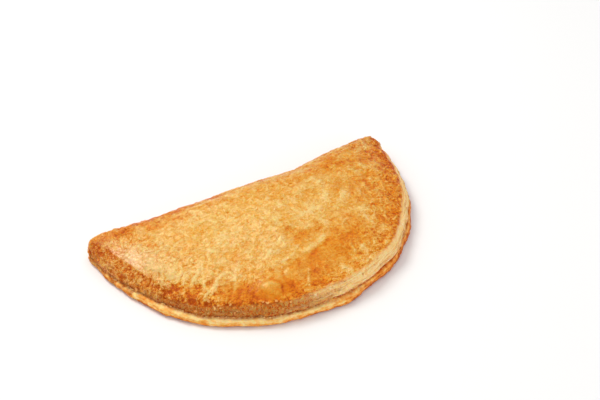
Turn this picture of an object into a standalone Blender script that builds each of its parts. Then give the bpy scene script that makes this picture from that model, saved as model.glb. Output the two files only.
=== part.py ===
"""A baked half-moon cheese pie, folded from one sheet of puff pastry, as one closed solid.

The pie lies on z = 0 with its straight folded side towards +Y and its curved cut side towards -Y.
The sheet is folded along the straight side, so the same sheet is the flat bottom and the domed top.
Along the curved side both cut edges show: the bottom sheet is a low rim with a narrow ledge, and
the top sheet stands on it as a steep cut wall, with a dark crevice between the two.

Every ring of the mesh follows the outline of the pie, from the underside over the rim, the ledge,
the crevice and the cut wall to the glazed top, and ends on a short line under the crown.
Lengths below are millimetres; the finished mesh is in metres.
"""
import math

import bpy
import numpy as np

MM = 0.001

# ---- plan of the pie -------------------------------------------------------------------------
LENGTH = 170.0            # tip to tip, along X
DEPTH = 93.0              # fold to the front of the curve, along Y
ARC_POWER_X = 0.86        # below 1 the curved side is fuller towards the tips than an ellipse
ARC_POWER_Y = 0.92
ARC_LEAN = 3.7            # the front of the curve lies this far towards +X
FOLD_BOW = 8.8            # the folded side curves inwards by this much at its middle
FOLD_BOW_POWER = 2.6
TIP_ROUND = 2.6           # reach of the rounding at the two tips
NORMAL_REACH = 2.5        # the inward directions are evened out over this length at the tips

# ---- bottom sheet and cut edge ---------------------------------------------------------------
CREVICE_DEPTH = 1.5       # how far the crevice goes in behind the foot of the cut wall
CREVICE_HEIGHT = 1.3
# ring by ring: share of the ledge width and offset inwards from the outline, share of the rim
# height and height above it, and how much the ring follows the waves of the rim and of the wall
EDGE_PROFILE = (
    (0.00, 2.60, 0.00, 0.00, 0.0, 0.0),       # where the rounding under the rim meets the table
    (0.00, 0.70, 0.00, 0.35, 1.0, 0.0),
    (0.00, 0.00, 0.35, 0.00, 1.0, 0.0),       # outermost line of the rim
    (0.00, 0.05, 0.73, 0.00, 1.0, 0.0),
    (0.00, 0.70, 1.00, 0.00, 0.8, 0.0),       # outer edge of the ledge
    (0.75, 0.30, 1.00, 0.05, 0.3, 0.3),
    (1.00, CREVICE_DEPTH, 1.00, -0.15, 0.0, 1.0),
    (1.00, 0.75 * CREVICE_DEPTH, 1.00, 0.6 * CREVICE_HEIGHT, 0.0, 1.0),
    (1.00, 0.00, 1.00, CREVICE_HEIGHT, 0.0, 1.0),            # foot of the cut wall
)
# along the curved side, by share of its length from the left tip
EDGE_SHARES = (0.00, 0.05, 0.10, 0.15, 0.24, 0.34, 0.48, 0.60, 0.80, 0.95, 1.00)
LEDGE_WIDTHS = (0.6, 0.9, 1.5, 2.5, 3.7, 2.9, 1.7, 1.4, 0.9, 0.8, 0.6)
WALL_RUNS = (1.2, 6.4, 7.6, 6.6, 4.7, 2.7, 2.5, 2.4, 3.6, 3.2, 1.2)
RIM_HEIGHTS = (3.0, 3.0, 3.2, 3.7, 4.3, 4.3, 4.2, 4.7, 4.9, 4.3, 4.0)
RIM_SHIFTS = (0.3, 1.2, 2.0, 1.5, 0.9, 0.5, 0.1, 0.0, -0.5, -0.4, 0.0)   # of the rim, inwards
EDGE_HEIGHTS = (12.0, 12.4, 12.8, 12.8, 12.4, 12.0, 12.2, 12.4, 12.4, 12.2, 12.0)
EDGE_LEVEL = 12.3         # the top forgets the waves of its edge over EDGE_FADE inwards
EDGE_FADE = 5.0
TIP_BLEND = (-1.5, 6.5)   # the fold turns into the cut edge between these lengths from a tip
TIP_INSETS = (2.6, 1.3)   # the top moves in by this much over the left and the right tip
TIP_INSET_REACH = 6.5
TIP_INSET_WAY = (0.75, -0.66)             # towards the middle and away from the fold

# ---- fold and crown --------------------------------------------------------------------------
FOLD_MID_HEIGHT = 9.4     # height of the outermost line of the fold, at the middle
FOLD_TIP_HEIGHTS = (9.6, 7.0)             # the same at the left and the right tip
FOLD_FOOT = 4.0           # the fold meets the table this far in from its outermost line
ROLL_RUN = 15.0           # width over which the fold rolls up to the crown, at the middle
TIP_ROLL_RUNS = (4.0, 5.5)                # the same at the left and the right tip
CROWN_HEIGHT = 24.6
TIP_TOP_HEIGHT = 13.2     # height of the top sheet at the tips
TIP_REACH = 15.0          # the crown is reached this far in from the tips
DOME_RUN = 62.0           # width over which the top rises from the cut edge to the crown
FOLD_DENTS = ((28.0, 16.0, 2.4), (-50.0, 26.0, -1.1))    # wide dents: x, half-width, depth

# ---- relief of the baked top -----------------------------------------------------------------
SEED = 41
RIM_SEED, WALL_SEED, FOLD_SEED, EDGE_SEED, FLANK_SEED = 61, 71, 81, 91, 50
SWELLS = ((26.0, 0.95), (11.0, 0.42), (6.5, 0.16))       # size and height of the puffed swellings
FRONT_FOLDS = (-58.0, -18.0, 7.5, 0.62)   # from x, to x, spacing and height of the flank wrinkles
FRONT_FOLD_REACH = 17.0
# bumps and dents of the crust: x, y, half-length, half-width, turn in degrees, height
BUMPS = (
    (-22.0, -33.5, 7.0, 4.5, 8.0, 1.25),      # blister on the front shoulder
    (-3.0, -10.0, 15.0, 2.4, 38.0, 0.70),     # split ridge across the crown
    (18.0, -13.0, 9.0, 2.4, -68.0, 0.55),     # short curved ridge to the right of it
    (33.0, 20.0, 26.0, 2.6, 4.0, -0.55),      # crease beside the fold, right
    (-32.0, 30.0, 24.0, 2.6, -6.0, -0.60),    # crease beside the fold, left
    (-62.0, 8.0, 13.0, 8.0, -62.0, 0.70),     # full shoulder by the left tip
    (-47.0, -12.0, 11.0, 4.0, -40.0, 0.65),   # bright shoulder of the left flank
    (58.0, 4.0, 14.0, 8.0, 60.0, -0.50),      # shallow hollow by the right tip
    (4.0, -34.0, 13.0, 5.0, 6.0, -0.45),      # hollow in front of the split ridge
    (27.0, 31.0, 17.0, 9.0, -4.0, -1.7),      # the roll of the fold is flatter here
    (-42.0, 33.0, 22.0, 6.0, -6.0, 0.9),      # and fuller here
)
FRONT_CORNER = (0.555, 0.045, 1.5)        # share, half-width and height of the corner in front
SCALLOPS = (0.80, 10.5, 1.0)  # the cut edge is scalloped from this share on: spacing and depth
RIM_WAVES = ((17.0, 0.75), (6.0, 0.28))
WALL_WAVES = ((13.0, 0.80), (5.5, 0.40))
LAYER_STEP = 0.34         # how far the pastry layers of the cut wall stand out and back
LAYER_LENGTH = 7.0        # length over which a layer of the cut wall keeps its depth
FOLD_WAVES = ((30.0, 0.85), (12.0, 0.35))
EDGE_HEIGHT_WAVES = ((16.0, 0.65), (6.5, 0.25))

# ---- mesh ------------------------------------------------------------------------------------
FRONT_STATIONS = 84
FOLD_STATIONS = 56
WALL_RINGS = 4
CROWN_RINGS = 25
SPINE_HALF_LENGTH = 46.0  # the line under the crown on which the rings end
SPINE_Y = 8.0
FINE_STATIONS = 2048      # samples of the outline before it is divided into stations
CRUST_COLOUR = (0.62, 0.30, 0.085, 1.0)


def smooth_step(value, low, high):
    """0 below low, 1 above high and a smooth rise in between."""
    share = np.clip((value - low) / (high - low), 0.0, 1.0)
    return share * share * (3.0 - 2.0 * share)


def noise(across, along, seed):
    """Smooth noise from -1 to 1: random values on a unit lattice, blended between its points."""
    table = np.random.default_rng(seed).uniform(-1.0, 1.0, (64, 64))
    col, row = np.floor(across).astype(int), np.floor(along).astype(int)
    fade_x, fade_y = across - col, along - row
    fade_x = fade_x ** 3 * (fade_x * (6.0 * fade_x - 15.0) + 10.0)
    fade_y = fade_y ** 3 * (fade_y * (6.0 * fade_y - 15.0) + 10.0)
    near = table[col % 64, row % 64] * (1.0 - fade_x) + table[(col + 1) % 64, row % 64] * fade_x
    far = (table[col % 64, (row + 1) % 64] * (1.0 - fade_x)
           + table[(col + 1) % 64, (row + 1) % 64] * fade_x)
    return near * (1.0 - fade_y) + far * fade_y


def waves(across, along, sizes, seed):
    """Sum of noise over the (size, height) pairs."""
    return sum(height * noise(across / size, along / size, seed + step)
               for step, (size, height) in enumerate(sizes))


def fine_outline():
    """Closed outline in plan, its inward directions and the lengths of the curve and the whole."""
    turn = np.linspace(0.0, math.pi, 600)
    cosine, sine = np.cos(turn), np.clip(np.sin(turn), 0.0, 1.0)
    curve = np.column_stack([
        -LENGTH / 2 * np.sign(cosine) * np.abs(cosine) ** ARC_POWER_X + ARC_LEAN * sine ** 2,
        DEPTH / 2 - DEPTH * sine ** ARC_POWER_Y])
    x = np.linspace(LENGTH / 2, -LENGTH / 2, 500)
    fold = np.column_stack([
        x, DEPTH / 2 - FOLD_BOW * (1.0 - np.abs(2.0 * x / LENGTH) ** FOLD_BOW_POWER)])
    path = np.vstack([curve, fold[1:]])
    steps = np.concatenate([[0.0], np.cumsum(np.linalg.norm(np.diff(path, axis=0), axis=1))])
    curve_length, whole = steps[len(curve) - 1], steps[-1]
    at = np.linspace(0.0, whole, FINE_STATIONS, endpoint=False)
    line = np.column_stack([np.interp(at, steps, path[:, axis]) for axis in range(2)])
    waves_per_mm = np.fft.rfftfreq(FINE_STATIONS, d=whole / FINE_STATIONS)[:, None]

    def evened(values, reach):
        weight = np.exp(-2.0 * (math.pi * waves_per_mm * reach) ** 2)
        return np.fft.irfft(np.fft.rfft(values, axis=0) * weight, FINE_STATIONS, axis=0)

    line = evened(line, TIP_ROUND)
    ahead = np.roll(line, -1, axis=0) - np.roll(line, 1, axis=0)
    inward = np.column_stack([-ahead[:, 1], ahead[:, 0]])
    inward = evened(inward / np.linalg.norm(inward, axis=1)[:, None], NORMAL_REACH)
    return line, inward / np.linalg.norm(inward, axis=1)[:, None], curve_length, whole


def stations():
    """Stations of the outline: point, inward direction, length along it and from the near tip.

    Also the length along it counted on past the left tip, and the length of the curved side.
    """
    line, inward, curve_length, whole = fine_outline()
    along = np.concatenate([
        np.linspace(0.0, curve_length, FRONT_STATIONS, endpoint=False),
        np.linspace(curve_length, whole, FOLD_STATIONS, endpoint=False)])
    place = along / whole * FINE_STATIONS
    first = np.floor(place).astype(int)
    share = (place - first)[:, None]
    second = (first + 1) % FINE_STATIONS
    point = line[first] * (1.0 - share) + line[second] * share
    normal = inward[first] * (1.0 - share) + inward[second] * share
    normal /= np.linalg.norm(normal, axis=1)[:, None]
    from_tip = np.where(along <= curve_length, np.minimum(along, curve_length - along),
                        -np.minimum(along - curve_length, whole - along))
    around = np.where(along < whole / 4, along + whole, along)
    return point, normal, along, from_tip, around, curve_length


def nearest_on(points, path):
    """Distance of every point from a path, and the number of the nearest point of the path."""
    apart = np.sqrt(((points[:, None, :] - path[None, :, :]) ** 2).sum(axis=2))
    return apart.min(axis=1), apart.argmin(axis=1)


def crown_height(points, cut_line, fold_line, edge_height):
    """Height of the top: a dome that rises from the cut edge and rolls down to the fold."""
    from_cut, nearest = nearest_on(points, cut_line)
    from_fold, _ = nearest_on(points, fold_line)
    from_tip = LENGTH / 2 - np.abs(points[:, 0])
    crown = TIP_TOP_HEIGHT + (CROWN_HEIGHT - TIP_TOP_HEIGHT) * np.sin(
        np.clip(from_tip / TIP_REACH, 0.0, 1.0) * math.pi / 2)
    dome = 1.0 - (1.0 - np.clip(from_cut / DOME_RUN, 0.0, 1.0)) ** 2
    low = EDGE_LEVEL + (edge_height[nearest] - EDGE_LEVEL) * np.exp(-from_cut / EDGE_FADE)
    top = low + (crown - low) * dome
    tipward = smooth_step(np.abs(2.0 * points[:, 0] / LENGTH), 0.45, 1.0)
    left = points[:, 0] < 0.0
    middle = FOLD_MID_HEIGHT + (np.where(left, *FOLD_TIP_HEIGHTS) - FOLD_MID_HEIGHT) * tipward
    roll_run = ROLL_RUN + (np.where(left, *TIP_ROLL_RUNS) - ROLL_RUN) * tipward
    roll = 1.0 - np.clip(from_fold / roll_run, 0.0, 1.0)
    height = middle + (top - middle) * np.sqrt(1.0 - roll ** 2)
    return height + baked_relief(points, from_cut, from_fold)


def baked_relief(points, from_cut, from_fold):
    """Swellings, bumps and creases of the top, fading out at the cut edge and on the fold."""
    x, y = points[:, 0], points[:, 1]
    relief = waves(x, y, SWELLS, SEED)
    for centre_x, centre_y, half_length, half_width, turn, height in BUMPS:
        c, s = math.cos(math.radians(turn)), math.sin(math.radians(turn))
        u = ((x - centre_x) * c + (y - centre_y) * s) / half_length
        v = ((y - centre_y) * c - (x - centre_x) * s) / half_width
        relief = relief + height * np.exp(-(u * u + v * v))
    low, high, spacing, amount = FRONT_FOLDS
    band = smooth_step(x, low - 12.0, low) * (1.0 - smooth_step(x, high, high + 14.0))
    band = band * (1.0 - smooth_step(from_cut, 5.0, FRONT_FOLD_REACH))
    relief = relief + band * amount * noise(x / (spacing / 2.0), y / (3.0 * spacing), FLANK_SEED)
    return relief * smooth_step(from_cut, 0.0, 6.0) * smooth_step(from_fold, 1.0, 9.0)


def edge_rings(point, normal, along, share, cutness, fold_bulge, inset, start_height):
    """Rings from the underside up to the glazed top, as offsets inwards from the outline.

    On the curved side they follow the rim, ledge, crevice and cut wall; on the folded side the
    same rings go up the lower quarter of the fold. cutness blends the two at the tips.
    """
    ledge = np.interp(share, EDGE_SHARES, LEDGE_WIDTHS)
    run = np.interp(share, EDGE_SHARES, WALL_RUNS)
    rim = np.interp(share, EDGE_SHARES, RIM_HEIGHTS)
    rim_wave = waves(along, 0.0 * along, RIM_WAVES, RIM_SEED) - front_corner(share)
    rim_shift = np.interp(share, EDGE_SHARES, RIM_SHIFTS)
    rings = []
    total = len(EDGE_PROFILE) + WALL_RINGS
    for index in range(total):
        if index < len(EDGE_PROFILE):
            ledge_share, offset, rim_share, height, rim_part, wall_part = EDGE_PROFILE[index]
            offset = ledge_share * ledge + offset
            height = rim_share * rim + height
        else:
            step = (index - len(EDGE_PROFILE) + 1) / (WALL_RINGS + 1)
            layer = LAYER_STEP * (0.6 + 0.4 * noise(along / LAYER_LENGTH, 0.0 * along + index, SEED))
            offset = ledge + run * (0.15 * step + 0.85 * step ** 2) + (-1) ** index * layer
            height = rim + CREVICE_HEIGHT + (start_height - rim - CREVICE_HEIGHT) * step
            rim_part, wall_part = 0.0, 1.0
        offset = offset + rim_part * rim_wave + wall_part * wall_shift(along, share)
        offset = offset + rim_shift * (1.0 - (index / total) ** 2)
        climb = index / total * math.pi / 2
        fold_offset = FOLD_FOOT * (1.0 - math.sin(climb)) + fold_bulge * math.sin(climb)
        fold_height = start_height * (1.0 - math.cos(climb))
        offset = offset * cutness + fold_offset * (1.0 - cutness)
        height = height * cutness + fold_height * (1.0 - cutness)
        if index == 6:        # the ledge never turns back on itself
            offset = np.maximum(offset, last_offset + 0.1)
        last_offset = offset
        plan = point + normal * offset[:, None] + inset * (index / total) ** 2
        rings.append(np.column_stack([plan, height]))
    return rings


def front_corner(share):
    """The rim stands out in a soft corner in front of the middle."""
    middle, half_width, height = FRONT_CORNER
    return height * np.exp(-((share - middle) / half_width) ** 2)


def wall_shift(along, share):
    """Waves and scallops of the cut wall, counted inwards."""
    first, spacing, depth = SCALLOPS
    scallop = depth * (0.6 - np.abs(np.sin(math.pi * along / spacing)))
    return (waves(along, 0.0 * along, WALL_WAVES, WALL_SEED) - 0.5 * front_corner(share)
            + scallop * smooth_step(share, first - 0.05, first + 0.05))


def fold_shift(x, around):
    """Waves and wide dents of the fold, counted inwards."""
    dents = sum(depth * np.exp(-((x - middle) / half_width) ** 2)
                for middle, half_width, depth in FOLD_DENTS)
    return waves(around, 0.0 * around, FOLD_WAVES, FOLD_SEED) + dents


def tip_inset(x, from_tip):
    """How far and in which direction of the plan the top moves in at the tips."""
    size = np.where(x < 0.0, *TIP_INSETS) * np.exp(-(from_tip / TIP_INSET_REACH) ** 2)
    return size[:, None] * np.column_stack([-np.sign(x) * TIP_INSET_WAY[0],
                                            np.full(len(x), TIP_INSET_WAY[1])])


def pie_rings():
    """All rings of the pie, lowest first, and the place on the spine of each station."""
    point, normal, along, from_tip, around, curve_length = stations()
    cutness = smooth_step(from_tip, *TIP_BLEND)
    share = np.clip(along / curve_length, 0.0, 1.0)
    cut_shift = (np.interp(share, EDGE_SHARES, LEDGE_WIDTHS)
                 + np.interp(share, EDGE_SHARES, WALL_RUNS) + wall_shift(along, share))
    bulge, inset = fold_shift(point[:, 0], around), tip_inset(point[:, 0], from_tip)
    shift = cut_shift * cutness + bulge * (1.0 - cutness)
    start = point + normal * shift[:, None] + inset
    edge_height = (np.interp(share, EDGE_SHARES, EDGE_HEIGHTS)
                   + waves(along, 0.0 * along, EDGE_HEIGHT_WAVES, EDGE_SEED))
    on_cut, on_fold = from_tip > 2.0, from_tip <= 2.0

    number = np.arange(len(point))
    past_tip = np.clip(number - (FRONT_STATIONS - FOLD_STATIONS) // 2, 0, FOLD_STATIONS)
    spine_place = np.where(number < FRONT_STATIONS, past_tip, len(point) - number)
    spine = np.column_stack([
        SPINE_HALF_LENGTH * (2.0 * spine_place / FOLD_STATIONS - 1.0),
        np.full(len(point), SPINE_Y)])
    crown = []
    for ring in range(CROWN_RINGS + 1):
        inner = (1.0 - math.cos(ring / CROWN_RINGS * math.pi / 2)) ** 0.9
        plan = start * (1.0 - inner) + spine * inner
        height = crown_height(plan, start[on_cut], start[on_fold], edge_height[on_cut])
        crown.append(np.column_stack([plan, height]))
    edge = edge_rings(point, normal, along, share, cutness, bulge, inset, crown[0][:, 2])
    return edge + crown, spine_place


def pie_surface():
    """Points in metres and outward faces of the closed pie, centred over the origin."""
    rings, spine_place = pie_rings()
    count = len(rings[0])
    points = np.vstack(rings[:-1] + [rings[-1][[np.argmax(spine_place == place)
                                                for place in range(FOLD_STATIONS + 1)]]])
    index = np.arange((len(rings) - 1) * count).reshape(-1, count)
    index = np.vstack([index, len(index) * count + spine_place])
    faces = [tuple(int(corner) for corner in index[0][::-1])]
    for low, high in zip(index[:-1], index[1:]):
        for here in range(count):
            after = (here + 1) % count
            corners = (low[here], low[after], high[after], high[here])
            faces.append(tuple(int(corner) for corner in dict.fromkeys(corners)))
    middle = (points.max(axis=0) + points.min(axis=0)) / 2.0
    points = (points - [middle[0], middle[1], 0.0]) * MM
    return points, faces


def crust_material():
    """Golden egg-washed crust."""
    material = bpy.data.materials.new("crust")
    material.use_nodes = True
    shader = material.node_tree.nodes["Principled BSDF"]
    shader.inputs["Base Color"].default_value = CRUST_COLOUR
    shader.inputs["Roughness"].default_value = 0.45
    return material


def main():
    for thing in list(bpy.data.objects):
        bpy.data.objects.remove(thing, do_unlink=True)
    points, faces = pie_surface()
    mesh = bpy.data.meshes.new("cheese_pie")
    mesh.from_pydata(points.tolist(), [], faces)
    mesh.polygons.foreach_set("use_smooth", [len(face) < 5 for face in faces])
    mesh.materials.append(crust_material())
    pie = bpy.data.objects.new("cheese_pie", mesh)
    bpy.context.scene.collection.objects.link(pie)


main()
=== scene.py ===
"""A baked half-moon cheese pie of folded puff pastry, dressed for the picture.

The pie is one closed crust: a domed, egg-washed top that rolls over the fold, a cut wall of puffed
layers along the curved side, a dark crevice under it and the rim of the bottom sheet. Loose flakes,
crumbs and the lips of single pastry layers lie on it as pieces of their own.

Lengths in the form are millimetres, counted in the plan of the pie with its fold towards +Y; every
finished mesh is in metres and centred as the frame is. The edge is worked out as coarse rows, from
0 under the rim: LEDGE_ROW is the ledge, WALL_ROW the foot of the cut wall and GLAZED_ROW its glazed
corner. UNDERSIDE is what the finish reads on the flat base.
"""
import logging
import math
from dataclasses import dataclass
from enum import Enum

import bpy
import numpy as np
from mathutils import Matrix, Vector


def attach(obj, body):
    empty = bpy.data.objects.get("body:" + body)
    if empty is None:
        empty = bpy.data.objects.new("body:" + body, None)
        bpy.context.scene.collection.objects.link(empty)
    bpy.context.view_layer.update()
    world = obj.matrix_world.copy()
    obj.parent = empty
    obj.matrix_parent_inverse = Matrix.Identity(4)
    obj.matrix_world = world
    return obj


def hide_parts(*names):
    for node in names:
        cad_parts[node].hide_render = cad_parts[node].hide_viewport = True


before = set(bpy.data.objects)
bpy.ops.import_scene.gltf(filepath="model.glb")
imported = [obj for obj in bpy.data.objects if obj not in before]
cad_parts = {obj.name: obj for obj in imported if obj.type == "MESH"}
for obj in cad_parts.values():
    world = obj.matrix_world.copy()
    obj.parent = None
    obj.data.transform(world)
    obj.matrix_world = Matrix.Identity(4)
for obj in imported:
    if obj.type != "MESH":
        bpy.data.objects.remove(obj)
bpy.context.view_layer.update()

log = logging.getLogger("cheese_pie")
MM = 0.001
NODE = "cheese_pie"
Array = np.ndarray
LEDGE_ROW = 5
WALL_ROW = 8
GLAZED_ROW = 13.0
UNDERSIDE = {"edge_place": (0.0, 0.0015, 0.0), "rise": -9.0, "fray": 0.0, "soft": 1.0, "bake": 0.5,
             "crevice_shade_and_brown": 0.0, "pale": 0.3, "sheet": 1.0, "gloss": 0.0, "crisp": 1.0, "toast_and_highlight_tint": 0.0}


# ---- numbers and noise -----------------------------------------------------------------------

def smooth_step(value: Array, low: float, high: float) -> Array:
    """Rise from 0 at low to 1 at high as 3 t^2 - 2 t^3.

    Args:
        value: where to read the step.
        low: the value at and below which the step is 0.
        high: the value at and above which it is 1.

    Returns:
        The height of the step at each value.
    """
    share = np.clip((value - low) / (high - low), 0.0, 1.0)
    return share * share * (3.0 - 2.0 * share)


def smooth_fall(value: Array, low: float, high: float) -> Array:
    """Fall from 1 at low to 0 at high: 1 minus smooth_step()."""
    return 1.0 - smooth_step(value, low, high)


def band(value: Array, rise: tuple[float, float], fall: tuple[float, float]) -> Array:
    """A band with soft sides: smooth_step() over the first pair times smooth_fall() over the next."""
    return smooth_step(value, *rise) * smooth_fall(value, *fall)


def fade(share: Array) -> Array:
    """Blend weight 6 t^5 - 15 t^4 + 10 t^3, with no bend at 0 and 1."""
    return share ** 3 * (share * (6.0 * share - 15.0) + 10.0)


def noise(across: Array, along: Array | float, seed: int) -> Array:
    """Smooth noise from -1 to 1 in the plane: random lattice values blended by fade().

    Args:
        across: first coordinate, in lattice cells.
        along: second coordinate, in lattice cells.
        seed: which random lattice is used.

    Returns:
        The noise at each pair of coordinates.
    """
    table = np.random.default_rng(seed).uniform(-1.0, 1.0, (64, 64))
    col, row = np.floor(across).astype(int), np.floor(along).astype(int)
    fade_x, fade_y = fade(across - col), fade(along - row)
    near = table[col % 64, row % 64] * (1.0 - fade_x) + table[(col + 1) % 64, row % 64] * fade_x
    far = (table[col % 64, (row + 1) % 64] * (1.0 - fade_x)
           + table[(col + 1) % 64, (row + 1) % 64] * fade_x)
    return near * (1.0 - fade_y) + far * fade_y


def grain(points: Array, cell: float, seed: int) -> Array:
    """Smooth noise from -1 to 1 in space: random values on a cubic lattice, blended by fade().

    Args:
        points: points, with x, y, z along the last axis.
        cell: size of a lattice cell, in the unit of the points.
        seed: which random lattice is used.

    Returns:
        The noise at each point.
    """
    table = np.random.default_rng(seed).uniform(-1.0, 1.0, (32, 32, 32))
    place = points / cell
    low = np.floor(place).astype(int)
    weight = fade(place - low)
    result = np.zeros(points.shape[:-1])
    for corner in range(8):
        step = np.array([corner & 1, corner >> 1 & 1, corner >> 2 & 1])
        at = (low + step) % 32
        share = np.where(step == 1, weight, 1.0 - weight).prod(axis=-1)
        result += share * table[at[..., 0], at[..., 1], at[..., 2]]
    return result


def crests(values: Array) -> Array:
    """Narrow crests along the zero lines of a noise: 1.6 (1 - |n|)^3 - 0.5."""
    return 1.6 * (1.0 - np.abs(values)) ** 3 - 0.5


def waves(across: Array, along: Array | float, sizes: tuple, seed: int) -> Array:
    """Sum of height * noise(coordinates / size) over the (size, height) pairs.

    Args:
        across: first coordinate, in millimetres.
        along: second coordinate, in millimetres.
        sizes: pairs of size and height.
        seed: seed of the first pair; each next pair takes the next one.

    Returns:
        The summed heights.
    """
    return sum(height * noise(across / size, along / size, seed + step)
               for step, (size, height) in enumerate(sizes))


# ---- the form of the pie ---------------------------------------------------------------------

@dataclass(frozen=True)
class Patch:
    """An oval place on the top: exp(-(u^2 + v^2)) in its own turned and scaled axes."""

    x: float
    y: float
    half_length: float
    half_width: float
    turn: float
    amount: float

    def at(self, x: Array, y: Array) -> Array:
        """How high the patch is.

        Args:
            x: plan coordinate.
            y: plan coordinate.

        Returns:
            The height, u and v being the coordinates along and across the turned oval.
        """
        c, s = math.cos(math.radians(self.turn)), math.sin(math.radians(self.turn))
        u = ((x - self.x) * c + (y - self.y) * s) / self.half_length
        v = ((y - self.y) * c - (x - self.x) * s) / self.half_width
        return self.amount * np.exp(-(u * u + v * v))


def patch_rows(*rows: tuple) -> tuple[Patch, ...]:
    """Patches from rows of x, y, half length, half width, turn in degrees and amount."""
    return tuple(Patch(*row) for row in rows)


def total(shapes: tuple[Patch, ...], x: Array, y: Array) -> Array:
    """Sum of the patches at each x, y."""
    return sum(shape.at(x, y) for shape in shapes)


@dataclass(frozen=True)
class Stroke:
    """A wrinkle, ridge or spot of the top along a line of points, exp(-(d / half_width)^2)."""

    line: tuple
    half_width: float
    height: float
    # Change of browning; raised strokes are mostly paler and sunk ones browner, partly real browning
    # and partly painted light and shade.
    tone: float

    def at(self, x: Array, y: Array) -> Array:
        """How strong the stroke is: 1 on its line, fading over its half width.

        Args:
            x: plan coordinate.
            y: plan coordinate.

        Returns:
            The strength, from the distance d to the nearest of the line's segments.
        """
        nearest = np.full(x.shape, np.inf)
        for (x0, y0), (x1, y1) in zip(self.line, self.line[1:]):
            run_x, run_y = x1 - x0, y1 - y0
            t = ((x - x0) * run_x + (y - y0) * run_y) / (run_x * run_x + run_y * run_y)
            t = np.clip(t, 0.0, 1.0)
            nearest = np.minimum(nearest, (x - x0 - t * run_x) ** 2 + (y - y0 - t * run_y) ** 2)
        return np.exp(-nearest / self.half_width ** 2)


def stroke_rows(*rows: tuple) -> tuple[Stroke, ...]:
    """Strokes from rows of half width, height, tone and then the x and y of each point."""
    return tuple(Stroke(tuple(zip(row[3::2], row[4::2])), *row[:3]) for row in rows)


@dataclass
class Stations:
    """Places round the outline at which every ring of a mesh has a point.

    Attributes:
        point: the outline's points.
        inward: unit directions inwards.
        along: length along the outline, from the left tip along the curved side and back.
        from_tip: distance from the nearer tip, negative on the fold.
        share: share of the curved side, 0 at the left tip and 1 on the whole fold.
        around: along, counted on over the left tip, so that the fold's waves don't jump there.
        whole: length of the whole outline.
        front: how many stations are on the curved side.
        fold: how many are on the fold.
    """

    point: Array
    inward: Array
    along: Array
    from_tip: Array
    share: Array
    around: Array
    whole: float
    front: int
    fold: int


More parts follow.
